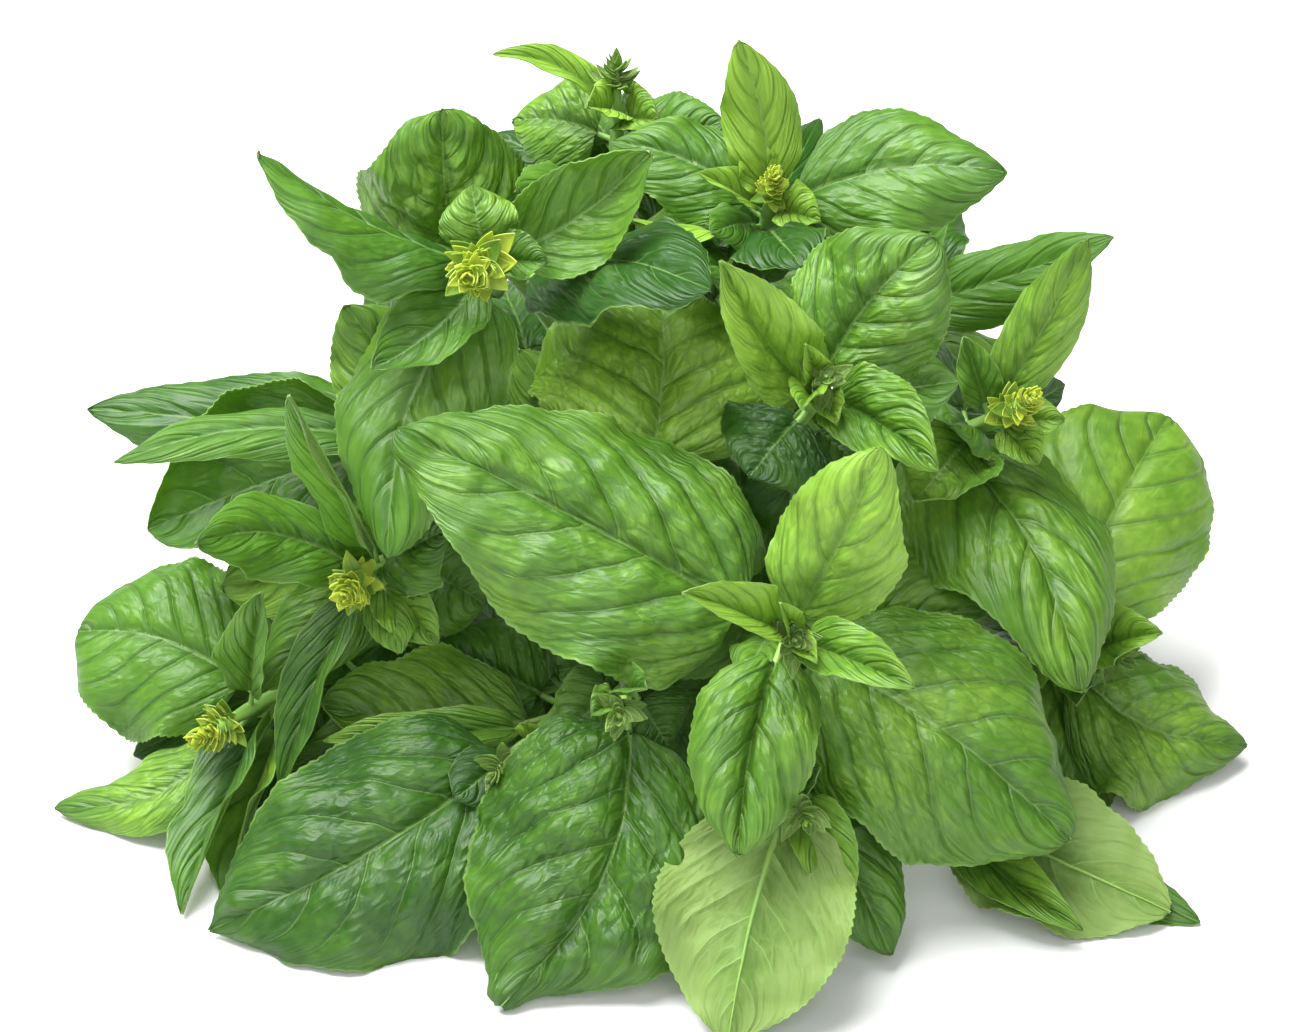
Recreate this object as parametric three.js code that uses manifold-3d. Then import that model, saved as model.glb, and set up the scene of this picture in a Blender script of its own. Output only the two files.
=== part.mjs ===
// A bunch of cut sweet basil, lying on its side. Leafy stems fan out of a band round their bare
// lower ends, and some of them end in a flower spike. Millimetres, +Z up. The leafy tops spread
// towards -Y and up, the cut ends point to +Y, and the surface that the bunch lies on is z = 0.
import * as THREE from "three";
import { mergeVertices } from "three/addons/utils/BufferGeometryUtils.js";
import Module from "manifold-3d";

const wasm = await Module();
wasm.setup();

// Stems
const STEM_RADIUS = 2.4; // at the cut end and in the band, corner to centre of a six-sided stem
const STEM_TIP_RADIUS = 1.5;
const STEM_SIDES = 6;
const STEM_STEPS = 7; // straight pieces from the band to the top of a stem
const RING_PITCH = 5.4; // between the rings of stems in the band
const CUT_STAGGER = 3; // the cut ends are not quite level
const CUT_LENGTHS = 4;

// Band
const BAND_CENTRE = new THREE.Vector3(0, 150, 15.5);
const BAND_WIDTH = 5;
const BAND_THICKNESS = 1.4;
const BAND_GAP = 0.4;
const BAND_FACETS = 24;
const CUT_Y = 215; // the longest cut end
const KNEE_Y = 176; // behind the band the stems sink until the lowest ones lie flat

// Leaves
const BLADE_THICKNESS = 0.8;
const STALK_THICKNESS = 1.5;
const NECK_THICKNESS = 1.1; // where the stalk becomes the midrib
const STALK_HALF_WIDTH = 0.8;
const TIP_HALF_WIDTH = 0.35;
const STALK_SHARE = 0.08; // of a leaf's length, with STALK_LENGTH more
const STALK_LENGTH = 3;
const RIPPLE = 0.1; // height of the wave in a blade's margin, as a share of its half width
const RIPPLE_WAVES = 2.3;
const RIPPLE_SHIFT = 1.7; // radians by which each leaf's wave starts later than the last one's
const OUTLINE_POWER = 0.5; // 0.5 makes an ellipse of a leaf, and more makes its ends sharper
const LARGE_WIDTH = 40; // leaves this wide and wider are split finest
const MIDDLE_WIDTH = 24;
const SMALL_WIDTH = 16;
const TOOTH_DEPTH = 0.06; // notch between the teeth of a margin, as a share of its half width
const SURFACE_CLEARANCE = 0.7; // a blade that reaches the surface flattens out on it

// Flower spikes
const SPIKE_GAP = 0.3; // between a stem's top and its spike
const SPIKE_WHORLS = 3;
const BRACTS_PER_WHORL = 4;
const CORE_SIDES = 5;
const CORE_STEPS = 3;
const CORE_SHARE = 0.2; // the core's radius, as a share of the spike's width
const CORE_REACH = 0.45; // half the core's length, as a share of the spike's length
// Bracts: length as a share of the spike's width, lean in degrees, level up the spike
const BRACT_LOWEST = { size: 0.42, lean: 72, level: 0.16 };
const BRACT_TOP = { size: 0.3, lean: 18, level: 0.68 };
const BRACT_BREADTH = 0.32; // half a bract's breadth, as a share of its length
const BRACT_FLATNESS = 0.5;
const BRACT_ROOT = 0.08; // where a bract starts, as a share of the spike's width

// The middle of the bunch's box on the surface, which is the part's origin
const ORIGIN = new THREE.Vector3(0, 56, 0);

const LEAF_GREEN = 0x3f8a2b;
const SPIKE_GREEN = 0xa9bf3a;
const BAND_COLOUR = 0xc9a66b;

// How a blade is formed: the angle at which its halves rise from the midrib, the angle at the
// margin, how far from the stalk it is widest (1 is halfway, less is nearer the stalk), and how
// sharp its tip is.
const FORMS = {
  domed: { rise: 16, margin: -44, fullness: 0.72, point: 0.3 },
  broad: { rise: 16, margin: -44, fullness: 0.6, point: 0.2 },
  full: { rise: 14, margin: -50, fullness: 0.86, point: 0.22 },
  pointed: { rise: 16, margin: -50, fullness: 0.78, point: 0.42 },
  round: { rise: 12, margin: -46, fullness: 0.92, point: 0.02 },
  flat: { rise: 8, margin: -16, fullness: 0.8, point: 0.2 },
  folded: { rise: 46, margin: 26, fullness: 0.72, point: 0.35 },
  pleat: { rise: 52, margin: -62, fullness: 0.72, point: 0.3 },
  spoon: { rise: 4, margin: 52, fullness: 0.72, point: 0.3 },
  cup: { rise: -4, margin: 78, fullness: 0.82, point: 0.1 },
  droop: { rise: 0, margin: -78, fullness: 0.72, point: 0.24 },
};

// The leafy stems. slot is a stem's ring in the band and its direction round it in degrees, head
// is its top, aim the way it points there, and run how far it keeps its direction at the band and
// at the top, as shares of the distance between them. spike is a flower spike's length and width.
// Each leaf is: how far below the head it leaves the stem, its tip, its width, the way that its
// upper side faces, the bend of its midrib in degrees, its sideways sway in percent, and its form.
const SPRIGS = [
  {
    name: "front", slot: [1, 306], head: [30, -52, 74], aim: [0.05, -0.8, 0.55], run: [0.38, 0.3],
    leaves: [
      [20, [-57, -18, 106], 60, [-1, -7, 10], 25, 0, "broad"],
      [22, [93, -60, 24], 62, [4, -10, 10], 48, -1, "full"],
      [11, [49, -42, 118], 31, [-1, -10, 10], 25, 3, "domed"],
      [11, [18, -85, 39], 33, [-1, -10, 7], 40, 4, "pleat"],
      [4, [56, -74, 77], 16, [0, -8, 10], 25, 0, "folded"],
      [4, [6, -72, 101], 14, [0, -8, 10], 25, 0, "folded"],
      [2, [27, -62, 91], 7, [0, -8, 10], 20, 0, "folded"],
      [2, [35, -66, 78], 7, [0, -8, 10], 20, 0, "folded"],
      [30, [21, -50, 64], 15, [-3, -10, 10], 20, 0, "domed"],
      [48, [-15, -40, 66], 28, [-3, -10, 10], 46, 0, "domed"],
      [48, [75.9, -15.2, 53.9], 38, [3, -10, 10], 30, 0, "domed"],
    ],
  },
  {
    name: "upper_front", slot: [1, 18], head: [37, -11, 113], aim: [0.05, -0.65, 0.7], run: [0.38, 0.3],
    leaves: [
      [14, [62, 6, 142], 40, [1, -8, 10], 30, -6, "full"],
      [10, [14, -14, 148], 24, [0, -10, 9], 15, -4, "folded"],
      [9, [62, -32, 105], 24, [1, -10, 10], 25, -5, "folded"],
      [5, [32, -30, 120], 11, [-2, -8, 10], 20, 0, "folded"],
      [22, [68, -4, 110], 28, [2, -5, 10], 25, 0, "domed"],
      [18, [21, -14, 91], 32, [-3, -10, 10], 25, 0, "domed"],
      [3, [33, -18, 129], 9, [0, -10, 10], 20, 0, "folded"],
      [3, [40, -24, 112], 9, [0, -10, 10], 20, 0, "folded"],
      [30, [30, 0, 62], 26, [1, -8, 10], 20, 0, "domed"],
      [28, [50, -2, 82], 26, [2, -8, 10], 20, 0, "domed"],
    ],
  },
  {
    name: "upper_left", slot: [1, 162], head: [-39, 8, 134], aim: [-0.1, -0.9, 0.35], run: [0.38, 0.3],
    spike: [23, 24],
    leaves: [
      [12, [-1, 22, 154], 27, [1, -10, 7], -15, 6, "spoon"],
      [8, [-41, 18, 148], 19, [-1, -8, 10], 80, 0, "domed"],
      [16, [-88, 16, 158], 32, [2, 1, 10], -20, -6, "droop"],
      [14, [-63, -5, 114], 22, [-1, -8, 10], -15, -6, "spoon"],
      [18, [-60, -24, 76], 42, [-5, -10, 10], 23, 9, "domed"],
      [6, [-24, 9.3, 133.2], 14, [2, -8, 10], 20, 0, "folded"],
      [36, [12, -10, 138], 34, [1, -5, 10], 22, -6, "domed"],
    ],
  },
  {
    name: "top", slot: [1, 90], head: [27, 44, 130], aim: [0, -0.5, 0.8], run: [0.42, 0.3],
    spike: [13, 13],
    leaves: [
      [8, [19, 52, 166], 19, [1, -10, 7], 10, 5, "domed"],
      [8, [81, 44, 136], 34, [0, -8, 10], 30, -8, "domed"],
      [12, [-10, 58.4, 135.7], 26, [0, -7, 10], 36, 8, "domed"],
      [20, [-7.1, 33.4, 130.3], 15, [0, 3, 10], -4, -4, "domed"],
      [18, [33, 14, 129], 26, [0, -8, 10], 46, 2, "domed"],
      [30, [8, 19, 127], 28, [0, -7, 10], -4, -4, "domed"],
      [6, [21.1, 52.3, 140.5], 12, [0, -8, 10], 4, 0, "folded"],
      [6, [38.2, 38.3, 126.4], 14, [0, -8, 10], 20, 0, "folded"],
      [9, [10, 42, 137], 10, [0, -5, 10], 15, 0, "folded"],
      [14, [13, 32, 127], 15, [0, -7, 10], 20, 2, "domed"],
      [40, [45, 95, 100], 34, [3, 8, 5], 40, 0, "domed"],
    ],
  },
  {
    name: "right", slot: [2, 25], head: [81, 15, 89], aim: [0.35, -0.6, 0.7], run: [0.33, 0.3],
    spike: [18, 17],
    leaves: [
      [9, [97.5, 20.2, 132.4], 17, [0, -10, 7], -1, 2, "domed"],
      [14, [59, -6, 79], 28, [0, -7, 10], -20, 0, "spoon"],
      [44, [97, -35, 46], 50, [4, -8, 10], 82, -2, "domed"],
      [8, [71, 24, 104], 12, [0, -10, 10], 15, 0, "folded"],
      [6, [88.4, 8.1, 79.2], 13, [0, -8, 10], 20, 0, "folded"],
      [8, [94.5, 16.1, 86.2], 13, [0, -10, 10], 15, 0, "folded"],
      [16, [68, 8, 90], 25, [0, -8, 10], 20, 0, "domed"],
      [45, [95, 60, 60], 32, [6, 6, 5], 40, 0, "domed"],
    ],
  },
  {
    name: "right_low", slot: [2, 352], head: [102, 0, 31], aim: [0.75, -0.55, 0.35], run: [0.38, 0.3],
    leaves: [
      [10, [124, 54, 62], 57, [3, -10, 10], 70, -6, "round"],
      [12, [141, -2, 5], 45, [2, -5, 10], 38, 18, "pointed"],
      [4, [117, -12, 46], 19, [2, -8, 10], 20, 0, "folded"],
      [4, [98, -16, 28], 12, [-2, -8, 10], 20, 0, "folded"],
      [30, [118, 38, 20], 34, [8, 4, 5], 40, 0, "domed"],
      [16, [106, -20, -1], 34, [1, -8, 10], 30, 0, "domed"],
      [32, [82, -25, 36], 30, [0, -8, 10], 30, 0, "domed"],
    ],
  },
  {
    name: "left", slot: [1, 234], head: [-68, -14, 62], aim: [-0.2, -0.9, 0.3], run: [0.33, 0.3],
    spike: [14, 18],
    leaves: [
      [8, [-102, -29.9, 84.2], 22, [0, -8, 10], -12, 12, "domed"],
      [8, [-49.5, -22, 50], 16, [0, -10, 9], 7, 0, "folded"],
      [14, [-77, -57, 141], 15, [-4, -10, 9], -2, 0, "folded"],
      [10, [-86, -34, 17], 15, [-7, -10, 10], 25, 2, "folded"],
      [34, [-101.1, -0.8, 50.1], 32, [0, -8, 10], 30, 0, "domed"],
      [12, [-45.9, -17.2, 78.9], 24, [2, -8, 10], 36, 0, "domed"],
      [24, [-39, -8, 51], 36, [0, -10, 10], 12, -2, "domed"],
      [14, [-58, -28, 52], 13, [0, -10, 10], 20, 0, "domed"],
      [22, [-91.1, -16.8, 33.1], 22, [0, -10, 10], 60, 0, "domed"],
    ],
  },
  {
    name: "lower_left", slot: [2, 189], head: [-99, -21, 27], aim: [-0.5, -0.8, 0.2], run: [0.38, 0.3],
    spike: [15, 17],
    leaves: [
      [14, [-137, 10, 30], 50, [0, -8, 10], 60, 8, "round"],
      [10, [-141, -22, 2], 21, [0, -4, 10], 10, -18, "domed"],
      [20, [-108, -60, 2], 21, [-9, -6, 10], 14, 0, "folded"],
      [8, [-90, -14, 59], 16, [-5, -10, 7], 15, 0, "folded"],
      [30, [-99, -52, 1], 27, [-9, -6, 10], -2, 4, "folded"],
      [32, [-128, 28, 18], 32, [-7, 5, 6], 40, 0, "domed"],
    ],
  },
  {
    name: "left_upper", slot: [2, 156], head: [-62, 8, 86], aim: [-0.6, -0.5, 0.55], run: [0.3, 0.3],
    leaves: [
      [14, [-118, 8, 61], 54, [1, -8, 10], -52, 8, "cup"],
      [36, [-135, 42, 72], 30, [0, -7, 10], 20, 0, "domed"],
      [10, [-123, -2, 87], 15, [-1, -4, 10], 4, 10, "domed"],
      [18, [-71.2, 24.5, 112.4], 32, [-3, -10, 10], 36, 6, "domed"],
      [38, [-106, 62, 46], 34, [-6, 5, 6], 40, 0, "domed"],
    ],
  },
  {
    name: "front_left", slot: [2, 254], head: [-7, -52, 57], aim: [-0.1, -0.9, 0.3], run: [0.38, 0.3],
    leaves: [
      [10, [-34, -91, 2], 68, [1, -10, 10], 32, -14, "pointed"],
      [12, [3, -48, 41], 22, [0, -10, 10], 20, 0, "domed"],
      [16, [-21, -44, 40], 22, [-3, -10, 10], 12, 2, "domed"],
      [2, [-2, -62, 68], 10, [1, -7, 10], 20, 0, "folded"],
      [2, [-14, -60, 59], 10, [-1, -7, 10], 20, 0, "folded"],
      [32, [-23, -24, 44], 32, [0, -8, 10], 20, 0, "domed"],
      [30, [10, -24, 18], 30, [0, -10, 10], 20, 0, "domed"],
    ],
  },
  {
    name: "low_left", slot: [2, 221], head: [-32, -44, 35], aim: [-0.4, -0.85, 0.2], run: [0.47, 0.3],
    leaves: [
      [10, [-101, -66, 2], 60, [0, -8, 10], 63, -7, "pointed"],
      [24, [-77.1, -16.8, 29.1], 38, [0, -5, 10], -26, -4, "cup"],
      [18, [-76.1, -30.8, 29.1], 12, [0, -5, 10], 31, -4, "folded"],
      [4, [-45, -56, 32], 16, [0, -10, 10], 20, 0, "domed"],
      [2, [-26, -40, 40], 9, [2, -7, 10], 20, 0, "folded"],
      [30, [-50.1, -3.6, 37.2], 30, [0, -10, 10], 12, 0, "domed"],
      [44, [-87, -18, 12], 26, [-2, -7, 10], 22, 0, "domed"],
    ],
  },
  {
    name: "front_low", slot: [2, 286], head: [32, -66, 41], aim: [0.1, -0.95, 0.1], run: [0.38, 0.3],
    leaves: [
      [6, [16, -103, 2], 44, [1, 8, -10], -30, -2, "flat"],
      [8, [43, -80, 21], 17, [1, -10, 7], 20, 0, "folded"],
      [16, [53, -78, 5], 28, [4, -10, 10], 30, 0, "domed"],
      [2, [36, -70, 52], 9, [1, -7, 10], 20, 0, "folded"],
      [16, [8, -60, 12], 30, [0, -10, 10], 20, 0, "domed"],
    ],
  },
  {
    name: "right_bottom", slot: [2, 319], head: [70, -38, 13], aim: [0.6, -0.75, 0.1], run: [0.38, 0.3],
    leaves: [
      [10, [117, -61, 3], 38, [0, 4, -10], -36, -6, "flat"],
      [14, [124, -62, 1], 26, [0, -4, 10], 4, 0, "domed"],
      [8, [96, -72, 7], 17, [-2, -7, 10], 20, 6, "folded"],
      [2, [79, -44, 22], 10, [1, -7, 10], 20, 0, "folded"],
      [30, [94, 18, 5], 30, [6, -3, 6], 40, 0, "domed"],
    ],
  },
  {
    name: "middle", slot: [0, 0], head: [-2, -10, 84], aim: [0, -0.55, 0.75], run: [0.45, 0.3],
    leaves: [
      [6, [1, 44, 104], 66, [0, -7, 10], 75, 4, "round"],
      [2, [-6, -4, 88], 9, [-1, -7, 10], 20, 0, "folded"],
      [2, [7, -2, 85], 9, [1, -7, 10], 20, 0, "folded"],
      [34, [-32.2, 30.2, 96.3], 32, [-1, -7, 10], 22, 0, "domed"],
      [8, [-35, -4, 86], 30, [-2, -8, 10], 20, 0, "domed"],
      [24, [28.2, 11.3, 65.3], 36, [2, -8, 10], 20, 0, "domed"],
      [12, [25.9, -3.6, 60.2], 34, [2, -8, 10], -4, 0, "domed"],
    ],
  },
  {
    name: "back_top", slot: [2, 90], head: [-9, 75, 137], aim: [0, -0.05, 0.95], run: [0.3, 0.35],
    leaves: [
      [5, [-38, 80, 147], 9, [0, -5, 10], 30, 12, "folded"],
      [12, [-34.4, 91.3, 122.5], 24, [-3, -10, 9], 40, 6, "domed"],
      [14, [16, 70, 135], 26, [3, -10, 9], 40, 8, "domed"],
      [5, [1, 66, 137], 15, [0, -8, 10], 20, 0, "folded"],
      [34, [-31.6, 38.8, 134.6], 30, [0, -8, 10], 28, -8, "domed"],
      [4, [-16, 64, 142], 14, [0, -8, 10], 20, 0, "folded"],
      [1, [-5, 78, 141], 5, [0, -8, 10], 15, 0, "folded"],
      [1, [-12, 80, 141], 5, [0, -8, 10], 15, 0, "folded"],
      [16, [-20, 112, 112], 30, [-1, 7, 6], 40, 0, "domed"],
      [30, [20, 125, 90], 34, [2, 7, 6], 40, 0, "domed"],
      [46, [8, 52.6, 111.4], 36, [0, -8, 10], 30, 0, "domed"],
    ],
  },
  {
    name: "back_left", slot: [2, 123], head: [-50, 60, 100], aim: [-0.4, 0, 0.85], run: [0.38, 0.3],
    leaves: [
      [8, [-49, 54, 147], 46, [0, -10, 9], 42, -2, "full"],
      [12, [-66, 42, 80], 28, [-4, -8, 10], 30, 0, "domed"],
      [22, [-62, 112, 100], 30, [-2, 7, 6], 40, 0, "domed"],
      [30, [-80, 100, 50], 34, [-6, 7, 4], 40, -2, "domed"],
      [2, [-40, 70, 114], 12, [2, -7, 10], 20, 0, "folded"],
      [4, [-62, 70, 122], 12, [0, -8, 10], 20, 0, "folded"],
      [45, [-40.2, 132.2, 52.4], 34, [-2, 8, 5], 24, 0, "domed"],
    ],
  },
  {
    name: "back_right", slot: [2, 57], head: [60, 68, 92], aim: [0.4, 0, 0.85], run: [0.42, 0.3],
    leaves: [
      [12, [107, 50, 115], 20, [1, -8, 10], 10, 3, "domed"],
      [14, [70, 112, 95], 32, [3, 7, 6], 40, 0, "domed"],
      [26, [98, 92, 50], 34, [6, 7, 4], 40, 0, "domed"],
      [3, [52, 62, 106], 12, [-2, -8, 10], 20, 0, "folded"],
      [5, [70, 78, 108], 12, [0, -8, 10], 20, 0, "folded"],
      [40, [42, 126, 60], 34, [2, 8, 5], 40, 0, "domed"],
    ],
  },
];

const radians = THREE.MathUtils.degToRad;
const vector = (values) => new THREE.Vector3(...values);

// How far the stems sink behind the band, so that the lowest lie on the surface on a flat side.
const slotHeights = SPRIGS.map(({ slot: [ring, direction] }) => (
  RING_PITCH * ring * Math.sin(radians(direction))
));
const flatSide = STEM_RADIUS * Math.cos(Math.PI / STEM_SIDES);
const STEM_SINK = BAND_CENTRE.z + Math.min(...slotHeights) - flatSide;

// A manifold solid of points and outward triangles, and one of any closed three.js geometry.
function solidOfMesh(points, triangles) {
  const vertProperties = new Float32Array(points.flatMap((point) => point.toArray()));
  const triVerts = new Uint32Array(triangles.flat());
  return new wasm.Manifold(new wasm.Mesh({ numProp: 3, vertProperties, triVerts }));
}

function solidOfGeometry(geometry) {
  const bare = geometry.clone();
  bare.deleteAttribute("normal");
  bare.deleteAttribute("uv");
  const merged = mergeVertices(bare, 1e-4);
  const vertProperties = new Float32Array(merged.attributes.position.array);
  const triVerts = new Uint32Array(merged.index.array);
  return new wasm.Manifold(new wasm.Mesh({ numProp: 3, vertProperties, triVerts }));
}

function meshOfSolid(name, solid, colour, roughness) {
  const { vertProperties, triVerts } = solid.getMesh();
  const geometry = new THREE.BufferGeometry();
  geometry.setAttribute("position", new THREE.BufferAttribute(vertProperties, 3));
  geometry.setIndex(new THREE.BufferAttribute(triVerts, 1));
  geometry.computeVertexNormals();
  const material = new THREE.MeshStandardMaterial({ color: colour, roughness, metalness: 0 });
  const mesh = new THREE.Mesh(geometry, material);
  mesh.name = name;
  return mesh;
}

// The points of a stem's centre line: straight from the cut end into the band, then one curve.
function stemLine(sprig, index) {
  const [ring, direction] = sprig.slot;
  const angle = radians(direction);
  const across = new THREE.Vector3(Math.cos(angle), 0, Math.sin(angle));
  const inBand = BAND_CENTRE.clone().addScaledVector(across, ring * RING_PITCH);
  const cutY = CUT_Y - CUT_STAGGER * (index % CUT_LENGTHS);
  const cutEnd = new THREE.Vector3(inBand.x, cutY, inBand.z - STEM_SINK);
  const knee = new THREE.Vector3(inBand.x, KNEE_Y, inBand.z - STEM_SINK);
  const head = vector(sprig.head);
  const reach = head.distanceTo(inBand);
  const [bandRun, headRun] = sprig.run;
  const curve = new THREE.CubicBezierCurve3(
    inBand,
    inBand.clone().add(new THREE.Vector3(0, -reach * bandRun, 0)),
    head.clone().addScaledVector(vector(sprig.aim).normalize(), -reach * headRun),
    head,
  );
  return [cutEnd, knee, ...curve.getPoints(STEM_STEPS)];
}

function stemSolid(line) {
  const points = [];
  const triangles = [];
  let sideways = new THREE.Vector3(1, 0, 0);
  line.forEach((centre, row) => {
    const before = line[Math.max(row - 1, 0)];
    const after = line[Math.min(row + 1, line.length - 1)];
    const along = after.clone().sub(before).normalize();
    sideways = sideways.clone().addScaledVector(along, -sideways.dot(along)).normalize();
    const upwards = along.clone().cross(sideways);
    const taper = Math.max(row - 2, 0) / STEM_STEPS;
    const radius = THREE.MathUtils.lerp(STEM_RADIUS, STEM_TIP_RADIUS, taper);
    for (let side = 0; side < STEM_SIDES; side += 1) {
      const angle = (2 * Math.PI * side) / STEM_SIDES;
      points.push(centre.clone()
        .addScaledVector(sideways, radius * Math.cos(angle))
        .addScaledVector(upwards, radius * Math.sin(angle)));
    }
  });
  for (let row = 0; row < line.length - 1; row += 1) {
    for (let side = 0; side < STEM_SIDES; side += 1) {
      const a = row * STEM_SIDES + side;
      const b = row * STEM_SIDES + ((side + 1) % STEM_SIDES);
      triangles.push([a, b, b + STEM_SIDES], [a, b + STEM_SIDES, a + STEM_SIDES]);
    }
  }
  const lastRow = (line.length - 1) * STEM_SIDES;
  for (let side = 1; side < STEM_SIDES - 1; side += 1) {
    triangles.push([0, side + 1, side], [lastRow, lastRow + side, lastRow + side + 1]);
  }
  return solidOfMesh(points, triangles);
}

// The point of a stem that lies a given distance below its head.
function pointBelowHead(line, distance) {
  let left = distance;
  for (let row = line.length - 1; row > 0; row -= 1) {
    const step = line[row].distanceTo(line[row - 1]);
    if (left <= step) return line[row].clone().lerp(line[row - 1], left / step);
    left -= step;
  }
  return line[0].clone();
}

// How many rows and columns a blade is split into: the bigger it is, the finer.
function bladeSteps(width) {
  if (width >= LARGE_WIDTH) return { rows: 7, columns: 4 };
  if (width >= MIDDLE_WIDTH) return { rows: 5, columns: 2 };
  if (width >= SMALL_WIDTH) return { rows: 3, columns: 2 };
  return { rows: 2, columns: 2 };
}

// A leaf's middle surface as a grid of points. The midrib is an arc that turns by bend between
// stem and tip, and each half of the blade is an arc across it, from rise to margin.
function leafGrid(leaf, root, order) {
  const [, tipValues, width, face, bendDegrees, sway, formName] = leaf;
  const form = FORMS[formName];
  const steps = bladeSteps(width);
  const tip = vector(tipValues);
  const length = root.distanceTo(tip);
  const along = tip.clone().sub(root).normalize();
  const out = vector(face);
  out.addScaledVector(along, -out.dot(along)).normalize();
  const side = along.clone().cross(out);
  const bend = radians(bendDegrees);
  const chord = 2 * Math.sin(bend / 2);
  const rise = radians(form.rise);
  const curl = radians(form.margin - form.rise);
  const stalkShare = STALK_SHARE + STALK_LENGTH / length;

  const grid = [];
  for (let row = -1; row <= steps.rows; row += 1) {
    const u = Math.max(row, 0) / steps.rows;
    const s = row < 0 ? 0 : stalkShare + (1 - stalkShare) * u;
    const turn = bend * (s - 0.5);
    const centre = root.clone()
      .addScaledVector(along, (length * (Math.sin(bend / 2) + Math.sin(turn))) / chord)
      .addScaledVector(out, (length * (Math.cos(turn) - Math.cos(bend / 2))) / chord)
      .addScaledVector(side, (length * sway * Math.sin(Math.PI * s)) / 100);
    const up = along.clone().multiplyScalar(Math.sin(turn)).addScaledVector(out, Math.cos(turn));
    const halfWidth = bladeHalfWidth(u, row, width, form);
    const wave = RIPPLE * Math.sin(2 * Math.PI * RIPPLE_WAVES * u + RIPPLE_SHIFT * order);
    const points = [];
    for (let column = 0; column <= steps.columns; column += 1) {
      const t = (2 * column) / steps.columns - 1;
      const q = Math.abs(t);
      const offset = (Math.sign(t) * (Math.sin(rise + curl * q) - Math.sin(rise))) / curl;
      const lift = (Math.cos(rise) - Math.cos(rise + curl * q)) / curl + wave * t ** 3;
      points.push(centre.clone()
        .addScaledVector(side, halfWidth * offset)
        .addScaledVector(up, halfWidth * lift));
    }
    grid.push(points);
  }
  return grid;
}

function bladeHalfWidth(u, row, width, form) {
  const swell = Math.max(Math.sin(Math.PI * u ** form.fullness), 0);
  const outline = swell ** (OUTLINE_POWER + form.point * u * u);
  const notch = row > 0 && row % 2 === 0 ? 1 - TOOTH_DEPTH : 1;
  return (width / 2) * outline * notch + (u === 0 ? STALK_HALF_WIDTH : TIP_HALF_WIDTH);
}

// The grid's normals, each from the neighbouring points along and across the blade.
function gridNormals(grid) {
  const last = grid.length - 1;
  const end = grid[0].length - 1;
  return grid.map((points, row) => points.map((_, column) => {
    const along = grid[Math.min(row + 1, last)][column].clone().sub(grid[Math.max(row - 1, 0)][column]);
    const across = points[Math.min(column + 1, end)].clone().sub(points[Math.max(column - 1, 0)]);
    return across.cross(along).normalize();
  }));
}

// A leaf as one closed solid: the grid offset both ways, both faces split alike, and a rim.
function leafSolid(leaf, root, order) {
  const grid = leafGrid(leaf, root, order);
  const normals = gridNormals(grid);
  const rows = grid.length;
  const columns = grid[0].length;
  const count = rows * columns;
  const upper = [];
  const lower = [];
  grid.forEach((points, row) => points.forEach((point, column) => {
    const normal = normals[row][column];
    const half = leafThickness(row) / 2;
    const top = point.clone().addScaledVector(normal, half);
    const bottom = point.clone().addScaledVector(normal, -half);
    restOnSurface(top, bottom);
    upper.push(top);
    lower.push(bottom);
  }));

  const triangles = [];
  for (let row = 0; row < rows - 1; row += 1) {
    for (let column = 0; column < columns - 1; column += 1) {
      const a = row * columns + column;
      const [b, c, d] = [a + 1, a + columns, a + columns + 1];
      const split = column < (columns - 1) / 2 ? [[a, b, d], [a, d, c]] : [[a, b, c], [b, d, c]];
      for (const [p, q, r] of split) triangles.push([p, q, r], [p + count, r + count, q + count]);
    }
  }
  const rim = gridRim(rows, columns);
  rim.forEach((a, place) => {
    const b = rim[(place + 1) % rim.length];
    triangles.push([a, a + count, b], [b, a + count, b + count]);
  });
  return solidOfMesh([...upper, ...lower], triangles);
}

function leafThickness(row) {
  if (row < 2) return STALK_THICKNESS;
  return row === 2 ? NECK_THICKNESS : BLADE_THICKNESS;
}

// Points that would sink below z = 0 are lifted onto it, the upper one by a blade's thickness.
function restOnSurface(top, bottom) {
  const [high, low] = top.z >= bottom.z ? [top, bottom] : [bottom, top];
  low.z = Math.max(low.z, 0);
  high.z = Math.max(high.z, SURFACE_CLEARANCE);
}

// The grid's border, once round.
function gridRim(rows, columns) {
  const rim = [];
  for (let column = 0; column < columns; column += 1) rim.push(column);
  for (let row = 1; row < rows; row += 1) rim.push(row * columns + columns - 1);
  for (let column = columns - 2; column >= 0; column -= 1) rim.push((rows - 1) * columns + column);
  for (let row = rows - 2; row > 0; row -= 1) rim.push(row * columns);
  return rim;
}

// A leafy stem: the stem with all its leaves, their stalks sunk to its centre.
function sprigMesh(sprig, index) {
  const line = stemLine(sprig, index);
  const solid = sprig.leaves.reduce(
    (grown, leaf, order) => grown.add(leafSolid(leaf, pointBelowHead(line, leaf[0]), order)),
    stemSolid(line),
  );
  return meshOfSolid(`sprig_${sprig.name}`, solid, LEAF_GREEN, 0.5);
}

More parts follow.
